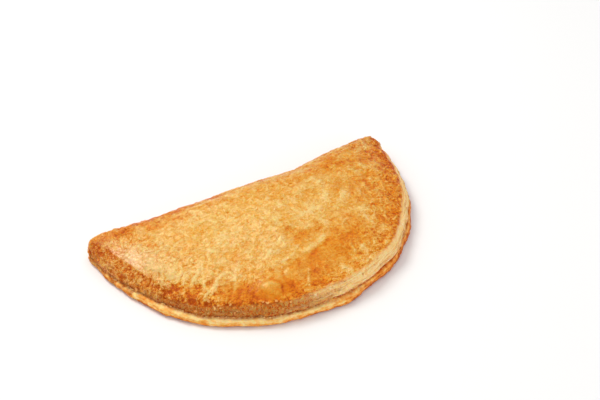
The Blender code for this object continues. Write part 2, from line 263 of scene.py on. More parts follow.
@dataclass
class PieForm:
    """The pie's sizes, those of its solid, and the surfaces worked out from them.

    Only the crevice is shallower than the solid's, because crumbs fill it.
    """

    length: float = 170.0
    depth: float = 93.0
    arc_power_x: float = 0.86
    arc_power_y: float = 0.92
    arc_lean: float = 3.7
    fold_bow: float = 8.8
    fold_bow_power: float = 2.6
    tip_round: float = 2.6
    normal_reach: float = 2.5
    crevice_depths: tuple = (0.2, 0.2, 0.2, 0.25, 0.5, 0.7, 0.8, 0.9, 0.7, 0.5, 0.3)
    crevice_height: float = 1.3
    edge_shares: tuple = (0.00, 0.05, 0.10, 0.15, 0.24, 0.34, 0.48, 0.60, 0.80, 0.95, 1.00)
    ledge_widths: tuple = (0.6, 0.9, 1.5, 2.5, 3.7, 2.9, 1.7, 1.4, 0.9, 0.8, 0.6)
    wall_runs: tuple = (1.2, 6.4, 7.6, 6.6, 4.7, 2.7, 2.5, 2.4, 3.6, 3.2, 1.2)
    rim_heights: tuple = (3.0, 3.0, 3.2, 3.7, 4.3, 4.3, 4.2, 4.7, 4.9, 4.3, 4.0)
    edge_heights: tuple = (12.0, 12.4, 12.8, 12.8, 12.4, 12.0, 12.2, 12.4, 12.4, 12.2, 12.0)
    edge_level: float = 12.3
    edge_fade: float = 5.0
    tip_blend: tuple = (-1.5, 6.5)
    fold_mid_height: float = 9.4
    fold_tip_heights: tuple = (9.6, 7.0)
    fold_foot: float = 4.0
    roll_run: float = 15.0
    tip_roll_runs: tuple = (4.0, 5.5)
    crown_height_mm: float = 24.6
    tip_top_height: float = 13.2
    tip_reach: float = 15.0
    dome_run: float = 62.0
    seed: int = 41
    rim_seed: int = 61
    wall_seed: int = 71
    fold_seed: int = 81
    edge_seed: int = 91
    flank_seed: int = 50
    swells: tuple = ((26.0, 0.95), (11.0, 0.42), (6.5, 0.16))
    front_folds: tuple = (-58.0, -18.0, 7.5, 0.62)
    front_fold_reach: float = 17.0
    bumps: tuple = patch_rows(
        (-22, -33.5, 7, 4.5, 8, 1.25), (-3, -10, 15, 2.4, 38, 0.7), (18, -13, 9, 2.4, -68, 0.55),
        (33, 20, 26, 2.6, 4, -0.55), (-32, 30, 24, 2.6, -6, -0.6), (-62, 8, 13, 8, -62, 0.7),
        (-47, -12, 11, 4, -40, 0.65), (58, 4, 14, 8, 60, -0.5), (4, -34, 13, 5, 6, -0.45),
        (27, 31, 17, 9, -4, -1.7), (-42, 33, 22, 6, -6, 0.9))
    front_corner: tuple = (0.555, 0.045, 1.5)
    scallops: tuple = (0.80, 10.5, 1.0)
    rim_waves: tuple = ((17.0, 0.75), (6.0, 0.28))
    wall_waves: tuple = ((13.0, 0.80), (5.5, 0.40))
    layer_step: float = 0.34
    layer_length: float = 7.0
    fold_waves: tuple = ((30.0, 0.85), (12.0, 0.35))
    edge_height_waves: tuple = ((16.0, 0.65), (6.5, 0.25))
    fold_dents: tuple = ((28.0, 16.0, 2.4), (-50.0, 26.0, -1.1))
    rim_shifts: tuple = (0.3, 1.2, 2.0, 1.5, 0.9, 0.5, 0.1, 0.0, -0.5, -0.4, 0.0)
    tip_insets: tuple = (2.6, 1.3)
    tip_inset_reach: float = 6.5
    wall_rings: int = 4
    spine_half_length: float = 46.0
    spine_y: float = 8.0
    fine_stations: int = 2048

    def outline(self) -> tuple[Array, Array, float, float]:
        """The closed outline in plan.

        The curved side is a half ellipse whose sine and cosine are raised to powers, the fold a
        flat bow. Both are joined, sampled evenly, and evened out by a Gaussian along their length.

        Returns:
            Points, inward directions, length of the curved side, length of the whole outline.
        """
        turn = np.linspace(0.0, math.pi, 600)
        cosine, sine = np.cos(turn), np.clip(np.sin(turn), 0.0, 1.0)
        curve = np.column_stack([
            -self.length / 2 * np.sign(cosine) * np.abs(cosine) ** self.arc_power_x
            + self.arc_lean * sine ** 2,
            self.depth / 2 - self.depth * sine ** self.arc_power_y])
        x = np.linspace(self.length / 2, -self.length / 2, 500)
        bow = 1.0 - np.abs(2.0 * x / self.length) ** self.fold_bow_power
        path = np.vstack([curve, np.column_stack([x, self.depth / 2 - self.fold_bow * bow])[1:]])
        steps = np.concatenate([[0.0], np.cumsum(np.linalg.norm(np.diff(path, axis=0), axis=1))])
        curve_length, whole = steps[len(curve) - 1], steps[-1]
        at = np.linspace(0.0, whole, self.fine_stations, endpoint=False)
        line = np.column_stack([np.interp(at, steps, path[:, axis]) for axis in range(2)])
        per_mm = np.fft.rfftfreq(self.fine_stations, d=whole / self.fine_stations)[:, None]

        def evened(values: Array, reach: float) -> Array:
            """The values, evened out along the outline.

            Args:
                values: a row for each point of the outline.
                reach: standard deviation of the Gaussian.

            Returns:
                The evened values.
            """
            weight = np.exp(-2.0 * (math.pi * per_mm * reach) ** 2)
            return np.fft.irfft(np.fft.rfft(values, axis=0) * weight, self.fine_stations, axis=0)

        line = evened(line, self.tip_round)
        ahead = np.roll(line, -1, axis=0) - np.roll(line, 1, axis=0)
        inward = np.column_stack([-ahead[:, 1], ahead[:, 0]])
        inward = evened(inward / np.linalg.norm(inward, axis=1)[:, None], self.normal_reach)
        return line, inward / np.linalg.norm(inward, axis=1)[:, None], curve_length, whole

    def stations(self, front: int, fold: int) -> Stations:
        """Stations spaced evenly along each side.

        Args:
            front: stations on the curved side, from the left tip.
            fold: stations on the folded side, from the right tip.

        Returns:
            The stations.
        """
        line, inward, curve_length, whole = self.outline()
        along = np.concatenate([np.linspace(0.0, curve_length, front, endpoint=False),
                                np.linspace(curve_length, whole, fold, endpoint=False)])
        place = along / whole * self.fine_stations
        first = np.floor(place).astype(int)
        part = (place - first)[:, None]
        second = (first + 1) % self.fine_stations
        normal = inward[first] * (1.0 - part) + inward[second] * part
        from_tip = np.where(along <= curve_length, np.minimum(along, curve_length - along),
                            -np.minimum(along - curve_length, whole - along))
        return Stations(line[first] * (1.0 - part) + line[second] * part,
                        normal / np.linalg.norm(normal, axis=1)[:, None], along, from_tip,
                        np.clip(along / curve_length, 0.0, 1.0),
                        np.where(along < whole / 4, along + whole, along), whole, front, fold)

    def spine(self, st: Stations) -> tuple[Array, Array]:
        """The line under the crown, to which every ring shrinks.

        Args:
            st: the stations.

        Returns:
            The line's point for each station, and the first station that has the same point.
        """
        count = len(st.point)
        number = np.arange(count)
        past = np.clip(number - (st.front - st.fold) // 2, 0, st.fold)
        place = np.where(number < st.front, past, count - number)
        first_at = np.zeros(st.fold + 1, dtype=int)
        first_at[place[::-1]] = number[::-1]
        x = self.spine_half_length * (2.0 * place / st.fold - 1.0)
        return np.column_stack([x, np.full(count, self.spine_y)]), first_at[place]

    def by_share(self, share: Array, values: tuple) -> Array:
        """A row of the edge's table, read at each share of the curved side."""
        return np.interp(share, self.edge_shares, values)

    def cutness(self, from_tip: Array) -> Array:
        """1 on the curved cut side, 0 on the fold, blended at the tips."""
        return smooth_step(from_tip, *self.tip_blend)

    def corner(self, share: Array) -> Array:
        """Soft corner of the rim in front of the middle, a Gaussian in the share."""
        middle, half_width, height = self.front_corner
        return height * np.exp(-((share - middle) / half_width) ** 2)

    def wall_shift(self, along: Array, share: Array) -> Array:
        """How far the cut wall is moved in, by waves and, towards the right tip, by scallops.

        A scallop is |sin| of the length along the edge over the spacing.

        Args:
            along: length along the outline.
            share: share of the curved side.

        Returns:
            The shift.
        """
        first, spacing, depth = self.scallops
        scallop = depth * (0.6 - np.abs(np.sin(math.pi * along / spacing)))
        return (waves(along, 0.0, self.wall_waves, self.wall_seed)
                - 0.5 * self.corner(share)
                + scallop * smooth_step(share, first - 0.05, first + 0.05))

    def fold_shift(self, st: Stations) -> Array:
        """Waves of the fold plus its wide Gaussian dents, counted inwards."""
        dents = sum(depth * np.exp(-((st.point[:, 0] - middle) / half_width) ** 2)
                    for middle, half_width, depth in self.fold_dents)
        return waves(st.around, 0.0, self.fold_waves, self.fold_seed) + dents

    def tip_inset(self, st: Stations) -> Array:
        """How the top moves in at the tips: a Gaussian of the distance from the nearer one.

        Args:
            st: the stations.

        Returns:
            A step in plan for each station, towards the middle and away from the fold.
        """
        left = st.point[:, 0] < 0.0
        size = np.where(left, *self.tip_insets) * np.exp(-(st.from_tip / self.tip_inset_reach) ** 2)
        return size[:, None] * np.column_stack([np.where(left, 0.75, -0.75), np.full(len(left), -0.66)])

    def start_line(self, st: Stations) -> Array:
        """Where the glazed top begins in plan: the outline moved in by ledge and wall.

        Args:
            st: the stations.

        Returns:
            A point for each station.
        """
        cut = (self.by_share(st.share, self.ledge_widths) + self.by_share(st.share, self.wall_runs)
               + self.wall_shift(st.along, st.share))
        cutness = self.cutness(st.from_tip)
        shift = cut * cutness + self.fold_shift(st) * (1.0 - cutness)
        return st.point + st.inward * shift[:, None] + self.tip_inset(st)

    def edge_height(self, st: Stations) -> Array:
        """Height of the glazed edge above the table."""
        return (self.by_share(st.share, self.edge_heights)
                + waves(st.along, 0.0, self.edge_height_waves, self.edge_seed))

    def relief(self, x: Array, y: Array, from_cut: Array, from_fold: Array) -> Array:
        """Swellings, bumps and creases of the top, fading at the cut edge and on the fold.

        Args:
            x: plan coordinate.
            y: plan coordinate.
            from_cut: distance from the cut edge.
            from_fold: distance from the fold.

        Returns:
            The height of the relief, noise plus the oval bumps plus the flank's wrinkles.
        """
        height = waves(x, y, self.swells, self.seed) + total(self.bumps, x, y)
        low, high, spacing, amount = self.front_folds
        place = band(x, (low - 12.0, low), (high, high + 14.0))
        place = place * smooth_fall(from_cut, 5.0, self.front_fold_reach)
        height = height + place * amount * noise(
            x / (spacing / 2), y / (3 * spacing), self.flank_seed)
        return height * smooth_step(from_cut, 0.0, 6.0) * smooth_step(from_fold, 1.0, 9.0)

    def crown(self, plan: Array, cut_line: Array, fold_line: Array,
              edge: Array) -> tuple[Array, Array, Array]:
        """The height of the top.

        A dome 1 - (1 - u)^2 rises from the cut edge over u = distance / dome_run; near the fold a
        quarter round sqrt(1 - (1 - w)^2) rolls it down to the middle height of the fold.

        Args:
            plan: points in plan.
            cut_line: stations of the cut edge.
            fold_line: stations of the fold.
            edge: height of the glazed edge at each cut station.

        Returns:
            Heights, distances from the cut edge, distances from the fold.
        """
        from_cut, nearest = nearest_on(plan, cut_line)
        from_fold, _ = nearest_on(plan, fold_line)
        top_height = self.tip_top_height + (self.crown_height_mm - self.tip_top_height) * np.sin(
            np.clip((self.length / 2 - np.abs(plan[:, 0])) / self.tip_reach, 0, 1) * math.pi / 2)
        dome = 1.0 - (1.0 - np.clip(from_cut / self.dome_run, 0.0, 1.0)) ** 2
        low = self.edge_level + (edge[nearest] - self.edge_level) * np.exp(-from_cut / self.edge_fade)
        top = low + (top_height - low) * dome
        tipward = smooth_step(np.abs(2.0 * plan[:, 0] / self.length), 0.45, 1.0)
        tip_height, tip_run = (np.where(plan[:, 0] < 0.0, *pair)
                               for pair in (self.fold_tip_heights, self.tip_roll_runs))
        middle = self.fold_mid_height + (tip_height - self.fold_mid_height) * tipward
        roll_run = self.roll_run + (tip_run - self.roll_run) * tipward
        roll = 1.0 - np.clip(from_fold / roll_run, 0.0, 1.0)
        height = middle + (top - middle) * np.sqrt(1.0 - roll ** 2)
        return (height + self.relief(plan[:, 0], plan[:, 1], from_cut, from_fold),
                from_cut, from_fold)

    def edge_profile(self, st: Stations, start_height: Array) -> tuple[Array, Array]:
        """Offsets inwards and heights of the edge, from the underside to the glazed top.

        On the curved side the rows follow the rounding under the rim, the rim, the ledge, the
        crevice and the cut wall, whose offset grows as 0.15 t + 0.85 t^2; on the fold they go up a
        quarter round. The two are blended by cutness().

        Args:
            st: the stations.
            start_height: height of the glazed top's first ring at each station.

        Returns:
            Offsets and heights, one row for each coarse ring.
        """
        ledge, run, rim = (self.by_share(st.share, values) for values in
                           (self.ledge_widths, self.wall_runs, self.rim_heights))
        rim_wave = waves(st.along, 0.0, self.rim_waves, self.rim_seed)
        rim_wave = rim_wave - self.corner(st.share)
        wall_wave = self.wall_shift(st.along, st.share)
        depth, high = self.by_share(st.share, self.crevice_depths), self.crevice_height
        table = [(0.0, 2.60, 0.0, 0.0, 0.0, 0.0), (0.0, 0.70, 0.0, 0.35, 1.0, 0.0),
                 (0.0, 0.00, 0.35, 0.0, 1.0, 0.0), (0.0, 0.05, 0.73, 0.0, 1.0, 0.0),
                 (0.0, 0.70, 1.0, 0.0, 0.8, 0.0), (0.75, 0.30, 1.0, 0.05, 0.3, 0.3),
                 (1.0, depth, 1.0, -0.15, 0.0, 1.0), (1.0, 0.75 * depth, 1.0, 0.6 * high, 0.0, 1.0),
                 (1.0, 0.0, 1.0, high, 0.0, 1.0)]
        # Each row: part of the ledge and what is added to it, part of the rim and what is added to
        # it, and how much of the rim's and of the wall's waves it takes.
        rows = len(table) + self.wall_rings
        cutness, bulge = self.cutness(st.from_tip), self.fold_shift(st)
        rim_shift = self.by_share(st.share, self.rim_shifts)
        offsets, heights = [], []
        for index in range(rows + 1):
            if index < len(table):
                ledge_part, offset, rim_part, height, rim_share, wall_share = table[index]
                offset, height = ledge_part * ledge + offset, rim_part * rim + height
            else:
                step = (index - len(table) + 1) / (self.wall_rings + 1)
                layer = self.layer_step * (0.6 + 0.4 * noise(
                    st.along / self.layer_length, index, self.seed))
                layer = layer * (-1) ** index * (index < rows)
                offset = ledge + run * (0.15 * step + 0.85 * step ** 2) + layer
                height = rim + high + (start_height - rim - high) * step
                rim_share, wall_share = 0.0, 1.0
            offset = offset + rim_share * rim_wave + wall_share * wall_wave
            offset = offset + rim_shift * (1.0 - (index / rows) ** 2)
            climb = index / rows * math.pi / 2
            fold_offset = self.fold_foot * (1.0 - math.sin(climb)) + bulge * math.sin(climb)
            fold_height = start_height * (1.0 - math.cos(climb))
            offsets.append(offset * cutness + fold_offset * (1.0 - cutness))
            heights.append(height * cutness + fold_height * (1.0 - cutness))
        # The foot of the crevice stays further in than the ledge.
        offsets[LEDGE_ROW + 1] = np.maximum(offsets[LEDGE_ROW + 1], offsets[LEDGE_ROW] + 0.1)
        return np.array(offsets), np.array(heights)


def nearest_on(points: Array, path: Array) -> tuple[Array, Array]:
    """Distance of every point from a path, and the number of the path's nearest point.

    Args:
        points: points in plan.
        path: the path's points.

    Returns:
        The distances and the numbers.
    """
    apart, number = np.empty(len(points)), np.empty(len(points), dtype=int)
    length = (path ** 2).sum(axis=1)
    for first in range(0, len(points), 8192):
        part = points[first:first + 8192]
        square = (part ** 2).sum(axis=1)[:, None] + length[None, :] - 2.0 * part @ path.T
        nearest = square.argmin(axis=1)
        number[first:first + 8192] = nearest
        least = square[np.arange(len(part)), nearest]
        apart[first:first + 8192] = np.sqrt(np.maximum(least, 0.0))
    return apart, number


def grid_normals(points: Array) -> Array:
    """Outward directions of a grid of rings: the cross product of its two central differences.

    Args:
        points: rings by stations by 3, closed along the stations.

    Returns:
        A unit vector for each point.
    """
    round_ = np.roll(points, -1, axis=1) - np.roll(points, 1, axis=1)
    up = np.gradient(points, axis=0)
    normal = np.cross(round_, up)
    size = np.linalg.norm(normal, axis=-1, keepdims=True)
    flat = np.array([0.0, 0.0, 1.0])
    return np.where(size > 1e-5, normal / np.maximum(size, 1e-9), flat)


# ---- helpers for meshes and shader nodes -----------------------------------------------------

def ring_faces(index: Array) -> Array:
    """Faces between rings of points that close on themselves.

    Args:
        index: point numbers, rings by points, or a stack of such grids.

    Returns:
        Rows of four point numbers, outward when the rings climb and run counter-clockwise.
    """
    after = np.roll(index, -1, axis=-1)
    return np.stack([index[..., :-1, :], after[..., :-1, :], after[..., 1:, :],
                     index[..., 1:, :]], axis=-1).reshape(-1, 4)


def mesh_piece(name: str, points: Array, faces: Array, material: bpy.types.Material,
               values: dict[str, Array] | None = None) -> bpy.types.Object:
    """A smooth mesh piece that stands for the pie's solid and rides on it.

    Args:
        name: the piece's name.
        points: points in millimetres; those that no face uses are left out.
        faces: its faces as rows of four point numbers; a triangle repeats its last number.
        material: its finish.
        values: attributes of its points: one column is a number, three are a vector.

    Returns:
        The new object.
    """
    used, number = np.unique(faces, return_inverse=True)
    points, faces = points[used] * MM, number.reshape(faces.shape)
    three = faces[:, 2] == faces[:, 3]
    sizes = np.where(three, 3, 4)
    corners = faces.ravel()[~np.column_stack([np.zeros((len(faces), 3), bool), three]).ravel()]
    starts = np.concatenate([[0], np.cumsum(sizes)[:-1]])
    mesh = bpy.data.meshes.new(name)
    mesh.vertices.add(len(points))
    mesh.vertices.foreach_set("co", points.astype(np.float32).ravel())
    mesh.loops.add(len(corners))
    mesh.loops.foreach_set("vertex_index", corners.astype(np.int32))
    mesh.polygons.add(len(faces))
    mesh.polygons.foreach_set("loop_start", starts.astype(np.int32))
    mesh.polygons.foreach_set("use_smooth", np.ones(len(faces), bool))
    for key, value in (values or {}).items():
        kind, field = ("FLOAT", "value") if value.ndim == 1 else ("FLOAT_VECTOR", "vector")
        attribute = mesh.attributes.new(key, kind, "POINT")
        attribute.data.foreach_set(field, value[used].astype(np.float32).ravel())
    mesh.materials.append(material)
    mesh.update(calc_edges=True)
    mesh.validate()
    piece = bpy.data.objects.new(name, mesh)
    bpy.context.scene.collection.objects.link(piece)
    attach(piece, "root")
    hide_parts(NODE)
    log.info("%s: %d points, %d faces", name, len(points), len(faces))
    return piece


@dataclass(frozen=True)
class Wire:
    """An output of a node, with which sums and products are written as with a number."""

    graph: "Graph"
    socket: bpy.types.NodeSocket

    def __add__(self, other: "Wire | float") -> "Wire":
        """The sum."""
        return self.graph.math("ADD", self, other)

    def __sub__(self, other: "Wire | float") -> "Wire":
        """The difference."""
        return self.graph.math("SUBTRACT", self, other)

    def __rsub__(self, other: float) -> "Wire":
        """The difference from a plain number."""
        return self.graph.math("SUBTRACT", other, self)

    def __mul__(self, other: "Wire | float") -> "Wire":
        """The product."""
        return self.graph.math("MULTIPLY", self, other)


class Graph:
    """A short way to add and join the nodes of a material, a world or a node group."""

    def __init__(self, tree: bpy.types.NodeTree) -> None:
        """Works in that node tree."""
        self.tree = tree

    def fill(self, node: bpy.types.Node, inputs: dict[str | int, object]) -> None:
        """Joins or sets inputs of a node.

        Args:
            node: the node.
            inputs: names or numbers of inputs to a Wire that is linked or a value that is set; a
                colour of three parts gets its alpha.
        """
        for key, value in inputs.items():
            socket = node.inputs[key]
            if isinstance(value, Wire):
                self.tree.links.new(value.socket, socket)
            elif socket.type == "RGBA":
                socket.default_value = (*value, 1.0)
            else:
                socket.default_value = value

    def node(self, kind: str, inputs: dict[str | int, object],
             **settings: object) -> bpy.types.Node:
        """A new node.

        Args:
            kind: Blender's type name without the ShaderNode prefix.
            inputs: what its inputs get, as in fill().
            settings: properties of the node.

        Returns:
            The node.
        """
        node = self.tree.nodes.new("ShaderNode" + kind)
        for key, value in settings.items():
            setattr(node, key, value)
        self.fill(node, inputs)
        return node

    def wire(self, kind: str, inputs: dict[str | int, object], output: int | str = 0,
             **settings: object) -> Wire:
        """One output of a new node.

        Args:
            kind: Blender's type name without the ShaderNode prefix.
            inputs: what its inputs get, as in fill().
            output: name or number of the output.
            settings: properties of the node.

        Returns:
            A Wire from that output.
        """
        return Wire(self, self.node(kind, inputs, **settings).outputs[output])

    def parts(self, kind: str, whole: Wire) -> list[Wire]:
        """The three numbers of a vector or a colour, by a SeparateXYZ or SeparateColor node."""
        return [Wire(self, socket) for socket in self.node(kind, {0: whole}).outputs]

    def math(self, operation: str, first: Wire | float, second: Wire | float = 0.0,
             clamp: bool = False) -> Wire:
        """The result of one Math node, kept from 0 to 1 where clamp is set."""
        return self.wire("Math", {0: first, 1: second}, operation=operation, use_clamp=clamp)

    def step(self, value: Wire, low: Wire | float, high: Wire | float) -> Wire:
        """Smooth rise from 0 at low to 1 at high."""
        return self.wire("MapRange", {"Value": value, "From Min": low, "From Max": high},
                         interpolation_type="SMOOTHSTEP")

    def blend(self, factor: Wire, first: Wire | float, second: Wire | float) -> Wire:
        """Blend of two numbers."""
        return self.wire("Mix", {0: factor, 2: first, 3: second}, data_type="FLOAT")

    def mix(self, factor: Wire, first: Wire | tuple, second: Wire | tuple,
            kind: str = "MIX") -> Wire:
        """Blend of two colours, in one of the Mix node's ways."""
        return self.wire("Mix", {0: factor, 6: first, 7: second}, 2, data_type="RGBA",
                         blend_type=kind)

    def pair(self, across: Wire, up: Wire) -> Wire:
        """A place in a plane, for a pattern that is stretched along or up the edge."""
        return self.wire("CombineXYZ", {0: across, 1: up})

    def texture(self, place: Wire, scale: Wire | float, detail: float = 2.0, rough: float = 0.5,
                twist: float = 0.0) -> Wire:
        """Value of a noise texture, about 0 to 1.

        Args:
            place: where it is read.
            scale: cells in a metre.
            detail: number of finer octaves.
            rough: strength of the finer octaves.
            twist: how far the noise is bent by another one.

        Returns:
            The value.
        """
        return self.wire("TexNoise", {"Vector": place, "Scale": scale, "Detail": detail,
                                      "Roughness": rough, "Distortion": twist})

    def off_middle(self, *texture: object) -> Wire:
        """|noise - 1/2| of a texture(), which is 0 along thin winding lines."""
        return self.math("ABSOLUTE", self.texture(*texture) - 0.5)

    def threads(self, width: float, *texture: object) -> Wire:
        """1 along the winding middle lines of a texture(), 0 beyond that width of its value."""
        return self.step(self.off_middle(*texture), width, 0.0)

    def ramp(self, value: Wire, stops: tuple) -> Wire:
        """Colour ramp.

        Args:
            value: where the ramp is read, 0 to 1.
            stops: pairs of place and colour.

        Returns:
            The colour.
        """
        node = self.node("ValToRGB", {0: value})
        elements = node.color_ramp.elements
        while len(elements) < len(stops):
            elements.new(0.5)
        for element, (place, colour) in zip(elements, stops):
            element.position, element.color = place, (*colour, 1.0)
        return Wire(self, node.outputs[0])


def node_group(name: str, inputs: dict[str, float | None],
               output: str) -> tuple[Graph, dict[str, Wire], bpy.types.Node]:
    """An empty shader node group with named sockets.

    Args:
        name: the group's name.
        inputs: name to the default of a number, or to None for a vector.
        output: name of the number that it puts out.

    Returns:
        A Graph on the group, a Wire from each input by name, and the node for the output.
    """
    tree = bpy.data.node_groups.new(name, "ShaderNodeTree")
    for key, default in inputs.items():
        kind = "NodeSocketVector" if default is None else "NodeSocketFloat"
        socket = tree.interface.new_socket(key, in_out="INPUT", socket_type=kind)
        if default is not None:
            socket.default_value = default
    tree.interface.new_socket(output, in_out="OUTPUT", socket_type="NodeSocketFloat")
    graph, source = Graph(tree), tree.nodes.new("NodeGroupInput").outputs
    return graph, {key: Wire(graph, source[key]) for key in inputs}, tree.nodes.new("NodeGroupOutput")


def new_material(name: str) -> tuple[bpy.types.Material, Graph, bpy.types.Node]:
    """An empty material.

    Args:
        name: its name.

    Returns:
        The material, a Graph on its nodes, and its shader.
    """
    material = bpy.data.materials.new(name)
    material.use_nodes = True
    return material, Graph(material.node_tree), material.node_tree.nodes["Principled BSDF"]


# ---- finishes --------------------------------------------------------------------------------

def tone(red: int, green: int, blue: int) -> tuple[float, float, float]:
    """A colour given as it looks on a screen, 0 to 255, as linear light."""
    return tuple(((part / 255 + 0.055) / 1.055) ** 2.4 for part in (red, green, blue))


def browning_group() -> bpy.types.NodeTree:
    """Node group that turns an even bake into the uneven browning of a hot oven.

    It puts out Bake + Cloud (n - 1/2) + Mottle (m - 1/2), n and m being a wide and a fine noise.

    Returns:
        The group: Vector, Bake, Cloud Size, Cloud, Mottle Size and Mottle in; Browning out.
    """
    graph, given, end = node_group("uneven_browning", {
        "Vector": None, "Bake": 0.4, "Cloud Size": 90.0, "Cloud": 0.3, "Mottle Size": 420.0,
        "Mottle": 0.3}, "Browning")
    cloud = graph.texture(given["Vector"], given["Cloud Size"], 3.0, 0.5, 0.6)
    mottle = graph.texture(given["Vector"], given["Mottle Size"], 3.5, 0.62, 0.4)
    graph.fill(end, {0: given["Bake"] + (cloud - 0.5) * given["Cloud"]
                     + (mottle - 0.5) * given["Mottle"]})
    return graph.tree


def pits_group() -> bpy.types.NodeTree:
    """Node group of scattered tiny pits and burst bubbles: cones 1 - distance / Radius.

    Returns:
        The group: Vector, Size, Radius and Share in; Pit out, 1 in the middle of a pit.
    """
    graph, given, end = node_group("crust_pits", {
        "Vector": None, "Size": 300.0, "Radius": 0.2, "Share": 0.5}, "Pit")
    cells = graph.node("TexVoronoi", {"Vector": given["Vector"], "Scale": given["Size"]},
                       feature="F1").outputs
    apart = graph.math("DIVIDE", Wire(graph, cells["Distance"]), given["Radius"])
    chosen = graph.parts("SeparateColor", Wire(graph, cells["Color"]))[0]
    graph.fill(end, {0: graph.math("SUBTRACT", 1.0, apart, clamp=True)
                     * graph.math("LESS_THAN", chosen, given["Share"])})
    return graph.tree


@dataclass(frozen=True)
class EggGlaze:
    """Egg-washed top: pale gold over the filling, amber to red-brown where it baked longest."""

    stops: tuple = ((0.00, tone(252, 212, 136)), (0.20, tone(244, 190, 100)),
                    (0.42, tone(237, 166, 58)), (0.62, tone(234, 138, 18)),
                    (0.82, tone(220, 110, 8)), (1.00, tone(194, 80, 6)))
    lip: tuple = tone(244, 178, 92)
    lip_share: float = 0.6
    cloud: float = 0.36
    mottle: float = 0.46
    speckle: float = 0.72
    bumps: float = 0.60
    vein: float = 0.24
    pit: float = 0.22
    threads: float = 0.55
    roughness: float = 0.32
    roughness_spread: float = 0.22


@dataclass(frozen=True)
class CutLayers:
    """Cut wall of the top sheet: pale puffed layers, or dry brown crumb where it baked hard."""

    pale: tuple = ((0.26, tone(226, 136, 62)), (0.38, tone(250, 188, 108)),
                   (0.52, tone(255, 216, 148)), (0.70, tone(255, 236, 188)))
    brown: tuple = ((0.26, tone(216, 80, 8)), (0.42, tone(255, 126, 22)),
                    (0.56, tone(255, 154, 44)), (0.74, tone(255, 212, 126)))
    roughness: float = 0.66


@dataclass(frozen=True)
class BottomSheet:
    """Rim, ledge and underside of the bottom sheet: gold on top, browner down its side."""

    stops: tuple = ((0.00, tone(255, 220, 148)), (0.26, tone(250, 188, 100)),
                    (0.54, tone(236, 146, 50)), (0.90, tone(188, 84, 12)))
    top_bake: float = 0.54
    bake_per_metre: float = -190.0
    cloud: float = 0.80
    mottle: float = 1.20
    streak: float = 1.3


@dataclass(frozen=True)
class Reading:
    """What the looks of the crust read: its places, its attributes and the shared groups."""

    graph: Graph
    place: Wire
    along: Wire
    up: Wire
    value: dict[str, Wire]
    browning: bpy.types.NodeTree
    pits: bpy.types.NodeTree

    def browned(self, bake: Wire, cloud: tuple, mottle: tuple) -> Wire:
        """The browning group's value.

        Args:
            bake: the even bake.
            cloud: size and amount of the wide clouds.
            mottle: size and amount of the fine mottle.

        Returns:
            The uneven browning.
        """
        return self.graph.wire("Group", {
            "Vector": self.place, "Bake": bake, "Cloud Size": cloud[0], "Cloud": cloud[1],
            "Mottle Size": mottle[0], "Mottle": mottle[1]}, node_tree=self.browning)


